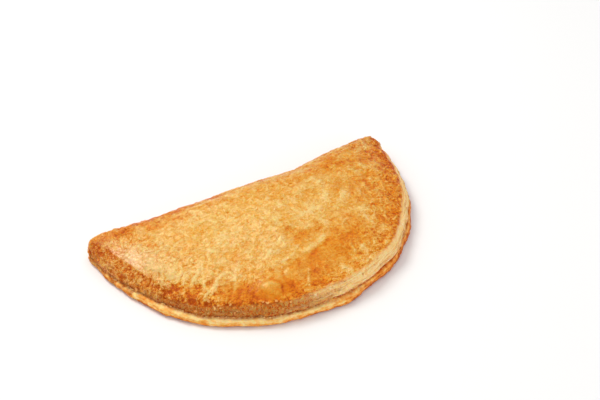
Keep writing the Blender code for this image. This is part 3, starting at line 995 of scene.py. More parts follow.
@dataclass
class CrustFinish:
    """The finish of the whole crust, which blends its three looks by the mesh's attributes."""

    glaze: EggGlaze = EggGlaze()
    layers: CutLayers = CutLayers()
    sheet: BottomSheet = BottomSheet()
    # Crevice colour: partly its browning, partly painted shade of the recess under the cut wall.
    crevice: tuple = tone(200, 68, 8)
    dull: tuple = (0.89, 0.77, 0.66)
    constants: tuple = (
        ("Coat Roughness", 0.30), ("Coat IOR", 1.45), ("Specular IOR Level", 0.34),
        ("Specular Tint", (1.0, 0.76, 0.42)), ("Subsurface Weight", 0.40),
        ("Subsurface Radius", (1.0, 0.40, 0.12)), ("Subsurface Scale", 0.0014))
    relief: float = 0.0007

    def build(self, browning: bpy.types.NodeTree, pits: bpy.types.NodeTree) -> bpy.types.Material:
        """Makes the material.

        The glaze begins where the attribute rise, frayed by noises, passes 0; below it the bottom
        sheet gives way to the cut wall. Where the crust is toasted its colour is dulled, and on the
        shine the same dulling is a painted highlight tint.

        Args:
            browning: the uneven browning group.
            pits: the crust pits group.

        Returns:
            The material.
        """
        material, graph, shader = new_material("baked_crust")
        value = {name: graph.wire("Attribute", {}, "Fac", attribute_name=name) for name in (
            "rise", "fray", "soft", "bake", "crevice_shade_and_brown", "pale", "sheet", "gloss", "crisp", "toast_and_highlight_tint")}
        along, up, _ = graph.parts("SeparateXYZ", graph.wire(
            "Attribute", {}, "Vector", attribute_name="edge_place"))
        place = graph.wire("TexCoord", {}, "Object")
        mesh = Reading(graph, place, along, up, value, browning, pits)

        ragged = graph.texture(place, 620.0, 3.0, 0.6)
        wisps = graph.texture(graph.pair(along, up * 0.25), 380.0)
        shift = (ragged - 0.5) * 2.4 + (wisps - 0.5) * 4.2
        glazed = graph.step(value["rise"] + shift * value["fray"], value["soft"] * -1.0,
                            value["soft"])
        lip = glazed * (1.0 - graph.step(ragged * 1.2 + value["rise"], 0.0, 1.4))
        sheeted = graph.step((wisps - 0.5) * 0.9 + value["sheet"], 0.38, 0.62)

        glaze_colour, glaze_height, speckle = self.glaze_look(mesh)
        wall_colour, wall_height = self.wall_look(mesh)
        sheet_colour, sheet_height = self.sheet_look(mesh)
        colour = graph.mix(glazed, graph.mix(sheeted, wall_colour, sheet_colour), glaze_colour)
        colour = graph.mix(lip * self.glaze.lip_share, colour, self.glaze.lip)
        # Painted highlight in part: on the shine this dulling tints the colour like the light's
        # reflection.
        colour = graph.mix(value["toast_and_highlight_tint"], colour, self.dull, "MULTIPLY")
        # Painted shade in part: where deep is high, the crevice colour darkens the recess under the
        # wall beyond its browning.
        filled = graph.step(graph.texture(place, 430.0, 2.5, 0.55), 0.42, 0.56)
        colour = graph.mix(graph.math("MULTIPLY", value["crevice_shade_and_brown"], filled, clamp=True), colour,
                           self.crevice)

        spread = self.glaze.roughness_spread
        glaze_rough = speckle * spread + (self.glaze.roughness - spread / 2)
        height = graph.blend(glazed, graph.blend(sheeted, wall_height, sheet_height), glaze_height)
        bump = graph.wire("Bump", {"Strength": 1.0, "Distance": self.relief, "Height": height})
        graph.fill(shader, dict(self.constants) | {
            "Base Color": colour, "Normal": bump, "Coat Weight": glazed * value["gloss"],
            "Roughness": graph.blend(glazed, self.layers.roughness, glaze_rough)})
        return material

    def glaze_look(self, mesh: Reading) -> tuple[Wire, Wire, Wire]:
        """The egg-washed top.

        The browning gets, times the attribute crisp, a fine speckle, small bumps, pits and veins,
        each browner where its height is lower, as painted shade in the hollows; it loses thin
        threads where the crust is toasted and on the shine.

        Args:
            mesh: what is read.

        Returns:
            Its colour, height and speckle.
        """
        graph, glaze = mesh.graph, self.glaze
        drawn = graph.wire("VectorMath", {0: mesh.place, 1: (0.5, 1.0, 1.0)},
                           operation="MULTIPLY")
        speckle = graph.texture(drawn, 1150.0, 2.5, 0.55, 1.0)
        bumps = graph.texture(drawn, 460.0, 2.0, 0.5, 1.4)
        vein = graph.threads(0.06, mesh.place, 380.0, 2.5, 0.55, 1.8)
        pit = graph.wire("Group", {"Vector": mesh.place, "Size": 460.0, "Radius": 0.22,
                                   "Share": 0.30}, node_tree=mesh.pits)
        # Painted shade: speckle, bumps, veins and pits are browner where the height below is lower,
        # darkening the hollows and paling the crests.
        fine = (vein * glaze.vein + (0.5 - speckle) * glaze.speckle
                + (0.5 - bumps) * glaze.bumps + pit * glaze.pit)
        threads = graph.threads(0.045, mesh.place, 520.0, 1.5, 0.5, 2.4) * mesh.value["toast_and_highlight_tint"]
        brown = mesh.browned(mesh.value["bake"], (75.0, glaze.cloud), (500.0, glaze.mottle))
        brown = brown + fine * mesh.value["crisp"] - threads * glaze.threads
        height = speckle * 0.50 + bumps * 1.30 - vein * 0.20 - pit * 0.30
        return graph.ramp(brown, glaze.stops), height, speckle

    def wall_look(self, mesh: Reading) -> tuple[Wire, Wire]:
        """The cut wall.

        Where it is brown it is crumb, upright flutes, curls and pale threads, in stronger contrast
        where it is toasted; where it is pale it is crumb and faint layers.

        Args:
            mesh: what is read.

        Returns:
            Its colour and height.
        """
        graph, place = mesh.graph, mesh.place
        layers = graph.texture(graph.pair(mesh.along * 0.14, mesh.up), 1300.0, 3.0, 0.6, 0.4)
        flutes = graph.texture(graph.pair(mesh.along, mesh.up * 0.3), 520.0, 2.5, 0.55, 0.6)
        crumb = graph.texture(place, 820.0, 3.5, 0.65, 0.9)
        curls = graph.off_middle(place, 520.0, 2.0, 0.5, 1.8)
        rough = (crumb * 0.62 + flutes * 0.25 - curls * 2.2
                 + (graph.texture(place, 1700.0, 1.5) - 0.5) * 0.55
                 + graph.threads(0.05, place, 560.0, 1.5, 0.5, 2.2) * 0.26 + 0.18)
        rough = (rough - 0.5) * (mesh.value["toast_and_highlight_tint"] * 0.6 + 1.0) + 0.5
        fine = crumb * 0.45 + layers * 0.55
        share = graph.step(mesh.value["pale"] + (crumb - 0.5) * 0.5, 0.0, 1.0)
        colour = graph.mix(share, graph.ramp(rough, self.layers.brown),
                           graph.ramp(fine, self.layers.pale))
        return colour, graph.blend(share, rough * 2.4, fine * 1.5)

    def sheet_look(self, mesh: Reading) -> tuple[Wire, Wire]:
        """The bottom sheet, browner towards the table, mottled and streaked along its edge.

        Args:
            mesh: what is read.

        Returns:
            Its colour and height.
        """
        graph, sheet = mesh.graph, self.sheet
        bake = mesh.value["bake"] + (mesh.up * sheet.bake_per_metre + sheet.top_bake)
        streak = graph.texture(graph.pair(mesh.along * 0.2, mesh.up), 900.0)
        brown = mesh.browned(bake, (130.0, sheet.cloud), (460.0, sheet.mottle))
        height = graph.texture(mesh.place, 700.0, 3.0, 0.6) * 0.9 + streak * 0.9
        return graph.ramp(brown + (streak - 0.5) * sheet.streak, sheet.stops), height


@dataclass(frozen=True)
class CrumbFinish:
    """Dry loose pastry: pale gold with toasted edges."""

    light: tuple = tone(244, 182, 98)
    toasted: tuple = tone(214, 122, 38)
    roughness: float = 0.6
    relief: float = 0.0002

    def build(self, name: str) -> bpy.types.Material:
        """Makes the material, whose colour follows a noise.

        Args:
            name: the material's name.

        Returns:
            The material.
        """
        material, graph, shader = new_material(name)
        place = graph.wire("TexCoord", {}, "Object")
        colour = graph.ramp(graph.texture(place, 420.0, 3.0, 0.6),
                            ((0.36, self.toasted), (0.60, self.light)))
        bump = graph.wire("Bump", {"Strength": 0.8, "Distance": self.relief,
                                   "Height": graph.texture(place, 1400.0)})
        graph.fill(shader, {"Base Color": colour, "Roughness": self.roughness, "Normal": bump})
        return material


# ---- pieces ----------------------------------------------------------------------------------

@dataclass
class Skin:
    """The finished grid of the crust in millimetres, on which loose pastry is set."""

    points: Array
    normals: Array
    place: Array
    share: Array

    def at(self, share: Array, row: Array) -> tuple[Array, Array]:
        """Points and outward directions, read between the grid's points.

        Args:
            share: shares of the curved side, 0 at the left tip.
            row: places among the coarse rows of the edge.

        Returns:
            The points and the unit directions.
        """
        column = np.interp(share, self.share, np.arange(len(self.share)))
        ring = np.interp(row, self.place, np.arange(len(self.place)))
        c0, r0 = np.floor(column).astype(int), np.floor(ring).astype(int)
        c1 = np.minimum(c0 + 1, len(self.share) - 1)
        r1 = np.minimum(r0 + 1, len(self.place) - 1)
        c, r = (column - c0)[..., None], (ring - r0)[..., None]

        def between(values: Array) -> Array:
            """Blend of the four grid values round each place, by its part of the way."""
            return ((values[r0, c0] * (1 - c) + values[r0, c1] * c) * (1 - r)
                    + (values[r1, c0] * (1 - c) + values[r1, c1] * c) * r)

        out = between(self.normals)
        return between(self.points), out / np.linalg.norm(out, axis=-1, keepdims=True)


@dataclass
class Ground:
    """The crust's grid before its fine relief, and what relief and finish both read there.

    Every array has a value, or a point, for each ring and station.

    Attributes:
        points: the points, in millimetres.
        x, y, z: their coordinates.
        along: length along the outline.
        share: share of the curved side, 0 at the left tip.
        cutness: 1 on the cut side, 0 on the fold.
        row: place among the coarse rows, above GLAZED_ROW on the top.
        from_cut: distance from the cut edge, 0 below it.
        from_fold: distance from the fold, 0 below the top.
        inner: signed distance from the glazed corner, counted down the wall too.
        top: whether the point is on the top.
        over: 1 on the top, 0 below it, with a soft change.
        right: 1 towards the right tip.
        bow: height in plan above a flat curve that follows the fold.
        wander: how far the marks stray in y.
        marks: height of the strokes.
        tones: browning of the strokes.
        calm: 1 where the grain is full, less in the smooth patches.
    """

    points: Array
    x: Array
    y: Array
    z: Array
    along: Array
    share: Array
    cutness: Array
    row: Array
    from_cut: Array
    from_fold: Array
    inner: Array
    top: Array
    over: Array
    right: Array
    bow: Array
    wander: Array
    marks: Array
    tones: Array
    calm: Array


@dataclass
class CrustBody:
    """The whole crust as one closed skin, with the fine relief that the solid leaves out."""

    form: PieForm
    front: int = 452
    fold: int = 292
    edge_steps: tuple = (2, 3, 3, 3, 3, 4, 3, 3, 5, 5, 5, 5, 5)
    crown_rings: int = 80
    base_steps: tuple = (0.12, 0.45, 1.0)
    spacing_blend: tuple = (-26.0, 30.0)
    wear_passes: int = 8
    wear_reach: float = 8.0
    row_height: float = 1.6
    stray: tuple = (4.0, 0.9)
    bend: tuple = (2.6, 0.9)
    fold_curve: tuple = (10.0, 24.0, 0.0022)
    flank_slants: tuple = ((0.15, 0.19, 0.22, 0.26, 0.31), (-0.8, -0.4, -0.1, 0.13, 0.45))
    crevice: tuple = (6.9, 1.45, 1.3)
    fold_glaze_height: float = 3.4
    base_height: float = 5.0
    right_end: tuple = (0.60, 0.72)
    calm: tuple = patch_rows(
        (10, -28, 26, 9, 10, 0.62), (-19.5, -33.5, 7.5, 4.8, 8, 0.7), (-68, 17, 13, 6, -64, 0.5),
        (-36.5, -25, 9, 4.2, -34, 0.6), (-22, -34, 17, 5, -10, 0.4))
    bake_level: float = 0.24
    fold_bake: float = 0.20
    fold_toast: float = 0.65
    shine_gloss: float = 1.1
    # How far the shine dulls the colour, as a painted highlight tint.
    shine_painted_tint: float = 0.9
    browned: tuple = patch_rows(
        (4, -31, 25, 9.5, 10, 0.26), (-30, -33, 15, 5.5, -24, 0.27), (-15, -38, 14, 5, -2, 0.13),
        (71, 29, 12, 8, -70, 0.16), (-36, 34, 30, 6, -6, 0.3), (40, 24, 30, 5, 3, 0.2),
        (39, 7, 6, 3.5, 30, 0.24), (10, -14, 8, 3.4, -4, 0.08), (75, 15, 7, 4.5, -80, 0.22),
        (57, 16, 20, 20, 0, 0.14), (32, -20, 17, 10, 30, 0.2), (-24, 2, 34, 20, -12, -0.1),
        # Painted highlight: the first and the last patch of the next row are paler where the light
        # catches the left shoulder.
        (-72, 18, 13, 6.5, -66, -0.22), (-63, 31, 15, 6, -14, 0.15), (-60, -1, 13, 6, -55, -0.24),
        (-55, -21, 15, 4.5, -46, 0.26), (-79, 40, 6, 5, 0, 0.06), (-45, 8, 9, 6, 20, 0.14),
        (60, -8, 10, 8, 60, 0.1), (-37, -25, 12, 4.5, -36, 0.15))
    # Glossiest coat here; the same place is also dulled in colour as a painted highlight tint.
    shine: Patch = Patch(-70, 19, 17, 6.5, -62, 1)
    strokes: tuple = stroke_rows(
        (0.7, 0.46, -0.2, -45.6, -20.5, -41.2, -17.2, -37, -14.4),
        (0.65, 0.42, -0.18, -51.1, -21.9, -46.9, -19.6, -43.2, -18.6),
        (0.8, 0.46, -0.2, -53.2, -13, -49.9, -10, -47.2, -7.5),
        (0.9, 0.42, -0.18, -64.4, -4.5, -60.9, -3.1, -58.4, -1),
        (1.1, 0.3, -0.1, -58.5, -5.9, -56.4, -4.3), (0.7, 0.38, -0.16, -48, -14.7, -45, -12.2),
        (0.65, 0.38, -0.18, -37, -25, -34, -21.6, -31.5, -18.6),
        (2.6, -0.15, 0.26, -58.5, -8.6, -55.4, -11.6, -53, -13.6),
        (4, -0.1, 0.16, -41.5, -22.1, -35.7, -24.7, -32, -28.5),
        (1.6, -0.15, 0.14, -43.1, -15.5, -45.6, -16.6),
        (1.7, 0.36, -0.1, 20.6, -9.1, 22.4, -13.1, 19.6, -17.8, 14.7, -19.7, 7.8, -22.1, 2.4, -22.7),
        (1.5, -0.26, 0.16, 22.8, -13.4, 17.6, -20, 11.3, -23.3, 5.1, -26.2),
        (2.8, -0.36, 0.08, 4.2, -13.7, 7.7, -13.2, 9.1, -13.9),
        (1.9, -0.3, 0.08, 16.9, -9.7, 15.8, -14.1), (2.2, -0.25, 0.06, 0.9, -8.1, 1.7, -7.3),
        (0.8, 0.36, -0.1, -14.7, -17.9, -10.6, -14.6, -6.9, -13.5, -2.5, -12.4),
        (0.8, 0.28, -0.08, -12.7, -17.1, -7.2, -17, -1.2, -15.9),
        (0.8, 0.28, -0.08, -9.1, -23.5, -3.1, -22, 1.3, -19.4),
        (1, 0.35, -0.1, 7.2, -3.6, 12.8, -2.6, 19.3, -1.3, 25, -1.2),
        (2.6, 0.75, 0.24, -22.2, -31.8, -19.7, -33.7, -17.5, -35),
        # Painted highlight: the next stroke is the pale spot at the blister's upper left; the one after
        # is a groove whose browner tone is painted shade on the blister's right.
        (1.5, 0.3, -0.26, -22.8, -31.5, -21.4, -31.8),
        (0.9, -0.3, 0.2, -18.7, -28.4, -16.4, -31.2, -15, -34.8, -15.4, -37),
        (0.7, 0.3, -0.16, -10.8, -29.5, -8, -28), (0.6, 0.26, -0.16, 0, -32, -3.4, -38.8),
        (0.8, 0.25, -0.16, 11, -24.1, 13, -23.9),
        (0.7, -0.3, 0.22, -1.1, -38.4, 2.5, -39.5, 6.7, -39.1),
        (2.4, -0.2, 0.2, -11.7, -33.4, -10.2, -35.7), (2, -0.15, 0.26, 2.3, -33.8, 2.9, -34.3),
        (1.5, -0.1, 0.2, 9.7, -33.9, 9.9, -34.4), (1.2, 0.45, -0.2, 44, -13.7, 44.1, -16.4),
        (1.3, 0.3, -0.16, 32.6, -28.7, 33, -31.3), (1.6, 0.3, -0.12, 16.9, -36.6, 19.3, -39.2),
        (1, -0.3, 0.2, 50.4, -7.4, 53.9, -7.7), (2.4, -0.15, 0.14, 27, -22, 31.5, -20.5),
        (1.8, 0.35, -0.12, 39, 2, 41.5, 4.5), (1.5, 0.3, -0.1, 30, 4.5, 33, 8),
        (1.5, -0.25, 0.16, 57.5, 4, 56, 9), (1.3, -0.1, 0.14, -29.9, 24.2, -22.4, 23.3, -14, 22.7),
        (1.4, -0.1, 0.15, -55.1, 29.3, -45.2, 27.6, -35.6, 24),
        (1.3, 0, 0.14, -73.5, 38.1, -68.5, 36.2, -63.4, 35.2))
    edge_shares: tuple = (0.0, 0.06, 0.12, 0.20, 0.30, 0.42, 0.50, 0.58, 0.70, 0.84, 0.94, 1.0)
    wall_pale: tuple = (0.10, 0.15, 0.15, 0.10, 0.02, 0.05, 0.60, 0.95, 1.05, 1.05, 0.55, 0.10)
    # How dark the crevice is painted along the curved side: browning and painted shade together.
    crevice_brown_and_shade_levels: tuple = (0.5, 0.55, 0.6, 0.65, 0.7, 0.7, 0.75, 0.85, 0.85, 0.85, 0.7, 0.3)
    edge_brown: tuple = (0.5, 0.5, 0.6, 0.6, 0.45, 0.25, 0.3, 0.3, 0.3, 0.2, 0.4, 0.5)
    edge_toast: tuple = (0.9, 1.0, 1.0, 0.8, 0.4, 0.1, 0.0, 0.0, 0.0, 0.0, 0.0, 0.2)
    edge_soft: tuple = (0.9, 0.9, 0.9, 1.2, 1.2, 0.8, 0.8, 1.0, 1.2, 1.4, 1.4, 1.0)
    sheet_bake: tuple = (0.46, 0.44, 0.40, 0.34, 0.26, 0.22, 0.30, 0.66, 0.88, 0.84, 0.70, 0.54)
    edge_fray: tuple = (1.2, 1.9, 2.4, 2.4, 1.6, 0.8, 0.5, 0.45, 0.4, 0.4, 0.6, 0.8)
    glaze_drops: tuple = (6.0, 8.0, 8.0, 6.0, 2.6, 0.8, 0.0, -0.2, 0.3, 1.0, 2.0, 4.0)
    sheet_shares: tuple = (0.40, 0.45, 0.55, 0.80, 0.95, 1.00, 0.95, 0.85, 0.85, 0.80, 0.70, 0.50)

    def by_share(self, share: Array, values: tuple) -> Array:
        """A row of the edge's table, read at each share of the curved side."""
        return np.interp(share, self.edge_shares, values)

    def edge_grid(self, st: Stations, start_height: Array) -> tuple[Array, Array]:
        """The fine rings of the edge.

        The coarse profile is read at even steps between its rows and evened out by weights
        1, 2, 1, which rounds its corners.

        Args:
            st: the stations.
            start_height: height of the first ring of the top.

        Returns:
            Points of the rings and each ring's place among the coarse rows.
        """
        offsets, heights = self.form.edge_profile(st, start_height)
        place = np.concatenate([row + np.arange(steps) / steps
                                for row, steps in enumerate(self.edge_steps)])
        low = np.floor(place).astype(int)
        part = (place - low)[:, None]
        fine = [rows[low] * (1.0 - part) + rows[low + 1] * part for rows in (offsets, heights)]
        for rows in fine:
            rows[1:-1] = (rows[:-2] + 2.0 * rows[1:-1] + rows[2:]) / 4.0
        plan = st.point[None] + st.inward[None] * fine[0][..., None]
        plan = plan + self.form.tip_inset(st)[None] * ((place / GLAZED_ROW) ** 2)[:, None, None]
        return np.concatenate([plan, fine[1][..., None]], axis=-1), place

    def crown_grid(self, st: Stations, spine: Array) -> tuple[Array, Array, Array]:
        """The rings of the top, from the glazed edge to the line under the crown.

        A ring lies at start (1 - v) + spine v in plan, where v grows as u^1.25 on the cut side and
        as (1 - cos(u pi / 2))^0.9 on the fold.

        Args:
            st: the stations.
            spine: the point of the line under the crown that each station's ring points shrink to.

        Returns:
            Points, distances from the cut edge, distances from the fold.
        """
        start = self.form.start_line(st)
        u = np.linspace(0.0, 1.0, self.crown_rings + 1)[:, None]
        lead = smooth_step(st.from_tip, *self.spacing_blend)[None]
        inner = u ** 1.25 * lead + (1.0 - np.cos(u * math.pi / 2)) ** 0.9 * (1.0 - lead)
        plan = start[None] * (1.0 - inner[..., None]) + spine[None] * inner[..., None]
        on_cut = st.from_tip > 2.0
        height, from_cut, from_fold = self.form.crown(
            plan.reshape(-1, 2), start[on_cut], start[~on_cut], self.form.edge_height(st)[on_cut])
        shape = plan.shape[:2]
        points = np.concatenate([plan, height.reshape(*shape, 1)], axis=-1)
        return points, from_cut.reshape(shape), from_fold.reshape(shape)

    def rounded(self, points: Array, corner: int) -> Array:
        """The grid with its glazed corner worn round: weights 1, 2, 1 across the rings near it.

        Args:
            points: rings by stations by 3.
            corner: number of the ring on the corner.

        Returns:
            The evened points.
        """
        off = np.abs(np.arange(len(points)) - corner)
        weight = 0.25 * smooth_fall(off, self.wear_reach - 3.0, self.wear_reach)[1:-1, None, None]
        for _ in range(self.wear_passes):
            points = np.concatenate([points[:1], points[1:-1] * (1.0 - 2.0 * weight) + weight * (
                points[:-2] + points[2:]), points[-1:]])
        return points

    def ground(self, points: Array, st: Stations, place: Array, from_cut: Array,
               from_fold: Array) -> Ground:
        """What relief and finish both read.

        Args:
            points: rings by stations by 3.
            st: the stations.
            place: each ring's place among the coarse rows.
            from_cut: distance from the cut edge.
            from_fold: distance from the fold.

        Returns:
            The ground.
        """
        x, y, z = points[..., 0], points[..., 1], points[..., 2]
        along, share, cutness, row = (np.broadcast_to(value, x.shape) for value in (
            st.along[None], st.share[None], self.form.cutness(st.from_tip)[None], place[:, None]))
        top = row >= GLAZED_ROW
        size, far = self.stray
        wander = [far * noise(x / size, y / size, seed) for seed in (35, 36)]
        middle, height, curve = self.fold_curve
        drawn = [(stroke, stroke.at(x + wander[0], y + wander[1])) for stroke in self.strokes]
        return Ground(
            points, x, y, z, along, share, cutness, row, from_cut, from_fold,
            inner=np.where(top, from_cut, (row - GLAZED_ROW) * self.row_height), top=top,
            over=smooth_step(row, GLAZED_ROW - 0.4, GLAZED_ROW + 0.4),
            right=smooth_step(share, *self.right_end),
            bow=y - height - curve * (x - middle) ** 2,
            wander=wander[1], marks=sum(stroke.height * strength for stroke, strength in drawn),
            tones=sum(stroke.tone * strength for stroke, strength in drawn),
            calm=1.0 - np.clip(total(self.calm, x, y), 0.0, 0.8))

    def top_relief(self, at: Ground, bent: Array, grains: Array) -> Array:
        """Relief of the top: fine grain and blisters, strokes, and streaks along the fold.

        Args:
            at: the ground.
            bent: the points, moved by a noise, at which the blisters are read.
            grains: the fine grain.

        Returns:
            The relief at each point.
        """
        lumps = np.maximum(grain(bent, 4.6, 14), 0.0) ** 2 * 0.45
        coarse = 0.6 + 0.8 * smooth_step(at.x, -76.0, -62.0) * smooth_fall(at.from_cut, 8.0, 26.0)
        skin = ((grains * (0.6 + 0.5 * coarse) + lumps * coarse) * at.calm + at.marks) * at.over
        streaks = noise(at.x / 9.0, (at.bow + 0.6 * at.wander) / 1.5, 29)
        return skin + 0.14 * streaks * at.over * smooth_fall(
            at.from_fold, 9.0, 20.0) * smooth_step(at.from_cut, 2.0, 12.0)

    def edge_relief(self, at: Ground, bent: Array) -> Array:
        """Relief of the cut side.

        Wrinkles, noise stretched towards the edge and slanted by place, run down the left flank;
        pleats cross the right edge; the wall has flutes, crumb and layers, the rim its own grain.

        Args:
            at: the ground.
            bent: the points, moved by a noise, at which the crumb is read.

        Returns:
            The relief at each point.
        """
        share, row, along, inner, z = at.share, at.row, at.along, at.inner, at.z
        left = band(share, (0.12, 0.19), (0.42, 0.52))
        left = left * (1.0 - 0.6 * smooth_step(share, 0.28, 0.37))
        down = left * smooth_step(row, 9.5, 12.0) * smooth_fall(at.from_cut, 4.0, 12.0)
        slant = np.interp(share, *self.flank_slants)
        lean = along - slant * inner + 1.2 * noise(along / 6.0, inner / 5.0, 27)
        patchy = smooth_step(noise(along / 9.0, inner / 12.0, 28), -0.5, 0.5)
        down = down * (0.35 + 0.65 * patchy)
        wrinkles = 0.42 * crests(noise(lean / 2.6, inner / 7.0, 15)) + 0.34 * noise(
            lean / 1.4, inner / 5.0, 16)
        across = band(share, (0.60, 0.70), (0.95, 0.99)) * at.over * smooth_fall(at.from_cut, 3.0, 11.0)
        pleats = crests(noise(along / 2.2 + at.from_cut / 6.0, at.from_cut / 4.5, 17))

        wall = smooth_step(row, 7.6, 8.6) * (1.0 - at.over) * at.cutness
        rough = 1.0 - 0.75 * smooth_step(share, 0.46, 0.66)
        flutes = 0.30 * crests(noise(lean / 2.6, z / 6.0, 18)) * rough
        crumb = (0.34 * crests(grain(bent, 1.7, 19)) + 0.30 * grain(at.points, 0.95, 20)) * rough
        layers = noise(along / 16.0, z / 0.62, 21) * (0.02 + 0.08 * (1.0 - rough))
        sheet = band(row, (0.6, 1.5), (LEDGE_ROW, LEDGE_ROW + 1.0)) * at.cutness
        rim = (0.26 * grain(at.points, 2.4, 22) + 0.16 * grain(at.points, 1.2, 23)
               + 0.22 * crests(noise(along / 7.0, z / 1.1, 34)))
        return (down * wrinkles + 0.28 * across * pleats + wall * (flutes + crumb + layers)
                + sheet * rim)

    def fine_relief(self, at: Ground, from_tip: Array) -> Array:
        """Relief along the skin's own directions, in millimetres.

        It adds that of the top, that of the cut side, which fades out at the tips, and the same
        fine grain on the fold.

        Args:
            at: the ground.
            from_tip: distance of each station from the nearest tip.

        Returns:
            The relief at each point.
        """
        points = at.points
        size, far = self.bend
        bent = points + far * np.stack([grain(points, size, seed) for seed in (24, 25, 26)], axis=-1)
        grains = (0.20 * grain(bent, 3.0, 11) + 0.20 * crests(grain(bent, 1.9, 12))
                  + 0.15 * grain(points, 1.05, 13))
        folded = (1.0 - at.cutness) * (1.0 - at.over) * smooth_step(at.z, 0.8, 3.0)
        seam = smooth_step(np.abs(from_tip), 0.2, 3.0)[None]
        return (self.top_relief(at, bent, grains) + folded * grains
                + seam * self.edge_relief(at, bent))

    def bake(self, at: Ground, relief: Array) -> Array:
        """How brown each point is baked, from pale at 0 to red-brown at 1.

        To a level come oval patches and strokes, bands inside the cut edge, in front and along the
        fold, an uneven burnt edge at the left, and streaks; crests of the relief are painted paler
        and its hollows browner, as painted highlight and shade. The bottom sheet has its own table.

        Args:
            at: the ground.
            relief: the fine relief.

        Returns:
            The bake at each point.
        """
        share, from_cut, from_fold, inner = at.share, at.from_cut, at.from_fold, at.inner
        front = band(share, (0.16, 0.26), (0.44, 0.56))
        bake = self.bake_level + total(self.browned, at.x, at.y) + at.tones
        bands = ((0.17 * at.right, 3.0, 17.0), (0.14 * at.right, 0.0, 6.0),
                 (0.08 * front, 0.5, 8.0), (0.06, 0.0, 3.0))
        bake = bake + at.top * at.cutness * sum(
            amount * smooth_fall(from_cut, near, far) for amount, near, far in bands)
        bake = bake + 0.26 * at.cutness * smooth_fall(inner, -1.5, 4.0) * self.by_share(
            share, self.edge_brown)
        bake = bake + self.fold_bake * smooth_fall(from_fold, 2.0, 12.0)
        uneven = 0.7 * crests(grain(at.points, 1.8, 43)) + 0.9 * grain(at.points, 3.2, 44)
        bake = bake + at.cutness * smooth_fall(inner, 0.5, 6.0) * (
            0.29 * uneven * (1.0 - 0.8 * smooth_step(share, 0.2, 0.38))
            + 0.05 * smooth_fall(share, 0.16, 0.3))
        # Painted light and shade: crests of the relief are paler, its hollows browner.
        bake = bake - 0.24 * np.clip(relief / 0.45, -1.2, 1.2)
        folded = smooth_fall(from_fold, 8.0, 22.0) * np.where(
            at.top, smooth_step(from_cut, 2.0, 12.0), 1.0 - at.cutness)
        bent = at.bow + 1.5 * noise(at.x / 6.0, at.y / 5.0, 36)
        bake = bake + 0.16 * folded * noise(at.x / 10.0, bent / 1.8, 30)
        sheet = self.by_share(share, self.sheet_bake) * at.cutness + 0.3 * (1.0 - at.cutness)
        return np.where(at.row < WALL_ROW, sheet, bake)

    def attributes(self, at: Ground, st: Stations, relief: Array) -> dict[str, Array]:
        """What the finish reads at each point.

        Args:
            at: the ground.
            st: the stations.
            relief: the fine relief.

        Returns:
            edge_place (length along the outline and height, in metres), rise (signed distance from
            the edge of the glaze, mm), fray and soft (of that edge, mm), bake, deep (inside the
            crevice, partly browning and partly painted shade), pale (of the wall), sheet, gloss, crisp
            (strength of the fine browning) and toast (dry, dull browning at the left and along the
            fold, and a painted highlight tint on the shine).
        """
        share, row, from_cut, z = at.share, at.row, at.from_cut, at.z
        dark, pale, fray, soft, sheeted, drop, toasted = (
            self.by_share(share, values) for values in (
                self.crevice_brown_and_shade_levels, self.wall_pale, self.edge_fray, self.edge_soft,
                self.sheet_shares, self.glaze_drops, self.edge_toast))
        side = np.where(at.top, smooth_step(at.from_fold, 0.5, 6.0), at.cutness)
        folded_rise = (z - self.fold_glaze_height + 1.3 * noise(st.around[None] / 8.0, 0.0, 38)) * 3.0
        rise = (at.inner + drop) * side + (1.0 - side) * np.where(at.top, 4.0, folded_rise)
        # The crevice band, darker than its browning alone: partly painted shade.
        middle, half_width, darkest = self.crevice
        crevice_shade_and_brown = np.exp(-((row - middle) / half_width) ** 2) * at.cutness * dark * darkest
        pale = (pale + 0.16 * noise(at.along / 5.0, z / 2.5, 31)
                + 0.28 * noise(at.along / 11.0, z / 0.8, 37)
                + at.right * (0.25 - 0.75 * smooth_fall(row, 8.2, 11.0)))
        sheet = smooth_fall(row, 5.6, 6.8) * at.cutness * sheeted
        sheet = sheet + (1.0 - at.cutness) * (z < self.base_height)
        shine = self.shine.at(at.x, at.y) * at.top
        gloss = 0.16 + 0.16 * (noise(at.x / 17.0, at.y / 12.0, 32)
                               + 0.6 * noise(at.x / 6.0, at.y / 6.0, 33))
        gloss = gloss * smooth_step(at.from_fold, 2.0, 9.0) * smooth_step(at.inner, 2.0, 9.0)
        toast_and_highlight_tint = at.cutness * smooth_fall(at.inner, -1.5, 3.0) * smooth_step(row, 6.0, 8.0) * toasted
        crisp = (1.0 + 0.7 * side * smooth_fall(from_cut, 3.0, 24.0)) * at.calm + 0.8 * toast_and_highlight_tint
        # Painted highlight: on the shine the colour is dulled to a highlight tint.
        toast_and_highlight_tint = toast_and_highlight_tint + self.shine_painted_tint * shine
        toast_and_highlight_tint = toast_and_highlight_tint + self.fold_toast * smooth_fall(at.from_fold, 4.0, 17.0) * at.top
        line = np.where(np.arange(row.shape[1]) <= st.front, st.along, (st.whole - st.along) * 1.4)
        edge_place = np.stack([line + 0.0 * z, z, 0.0 * z], axis=-1) * MM
        return {"edge_place": edge_place, "rise": rise, "fray": fray, "soft": soft,
                "bake": self.bake(at, relief), "crevice_shade_and_brown": crevice_shade_and_brown, "pale": pale, "sheet": sheet,
                "gloss": np.clip(gloss + self.shine_gloss * shine, 0.0, 1.0), "crisp": crisp,
                "toast_and_highlight_tint": toast_and_highlight_tint}

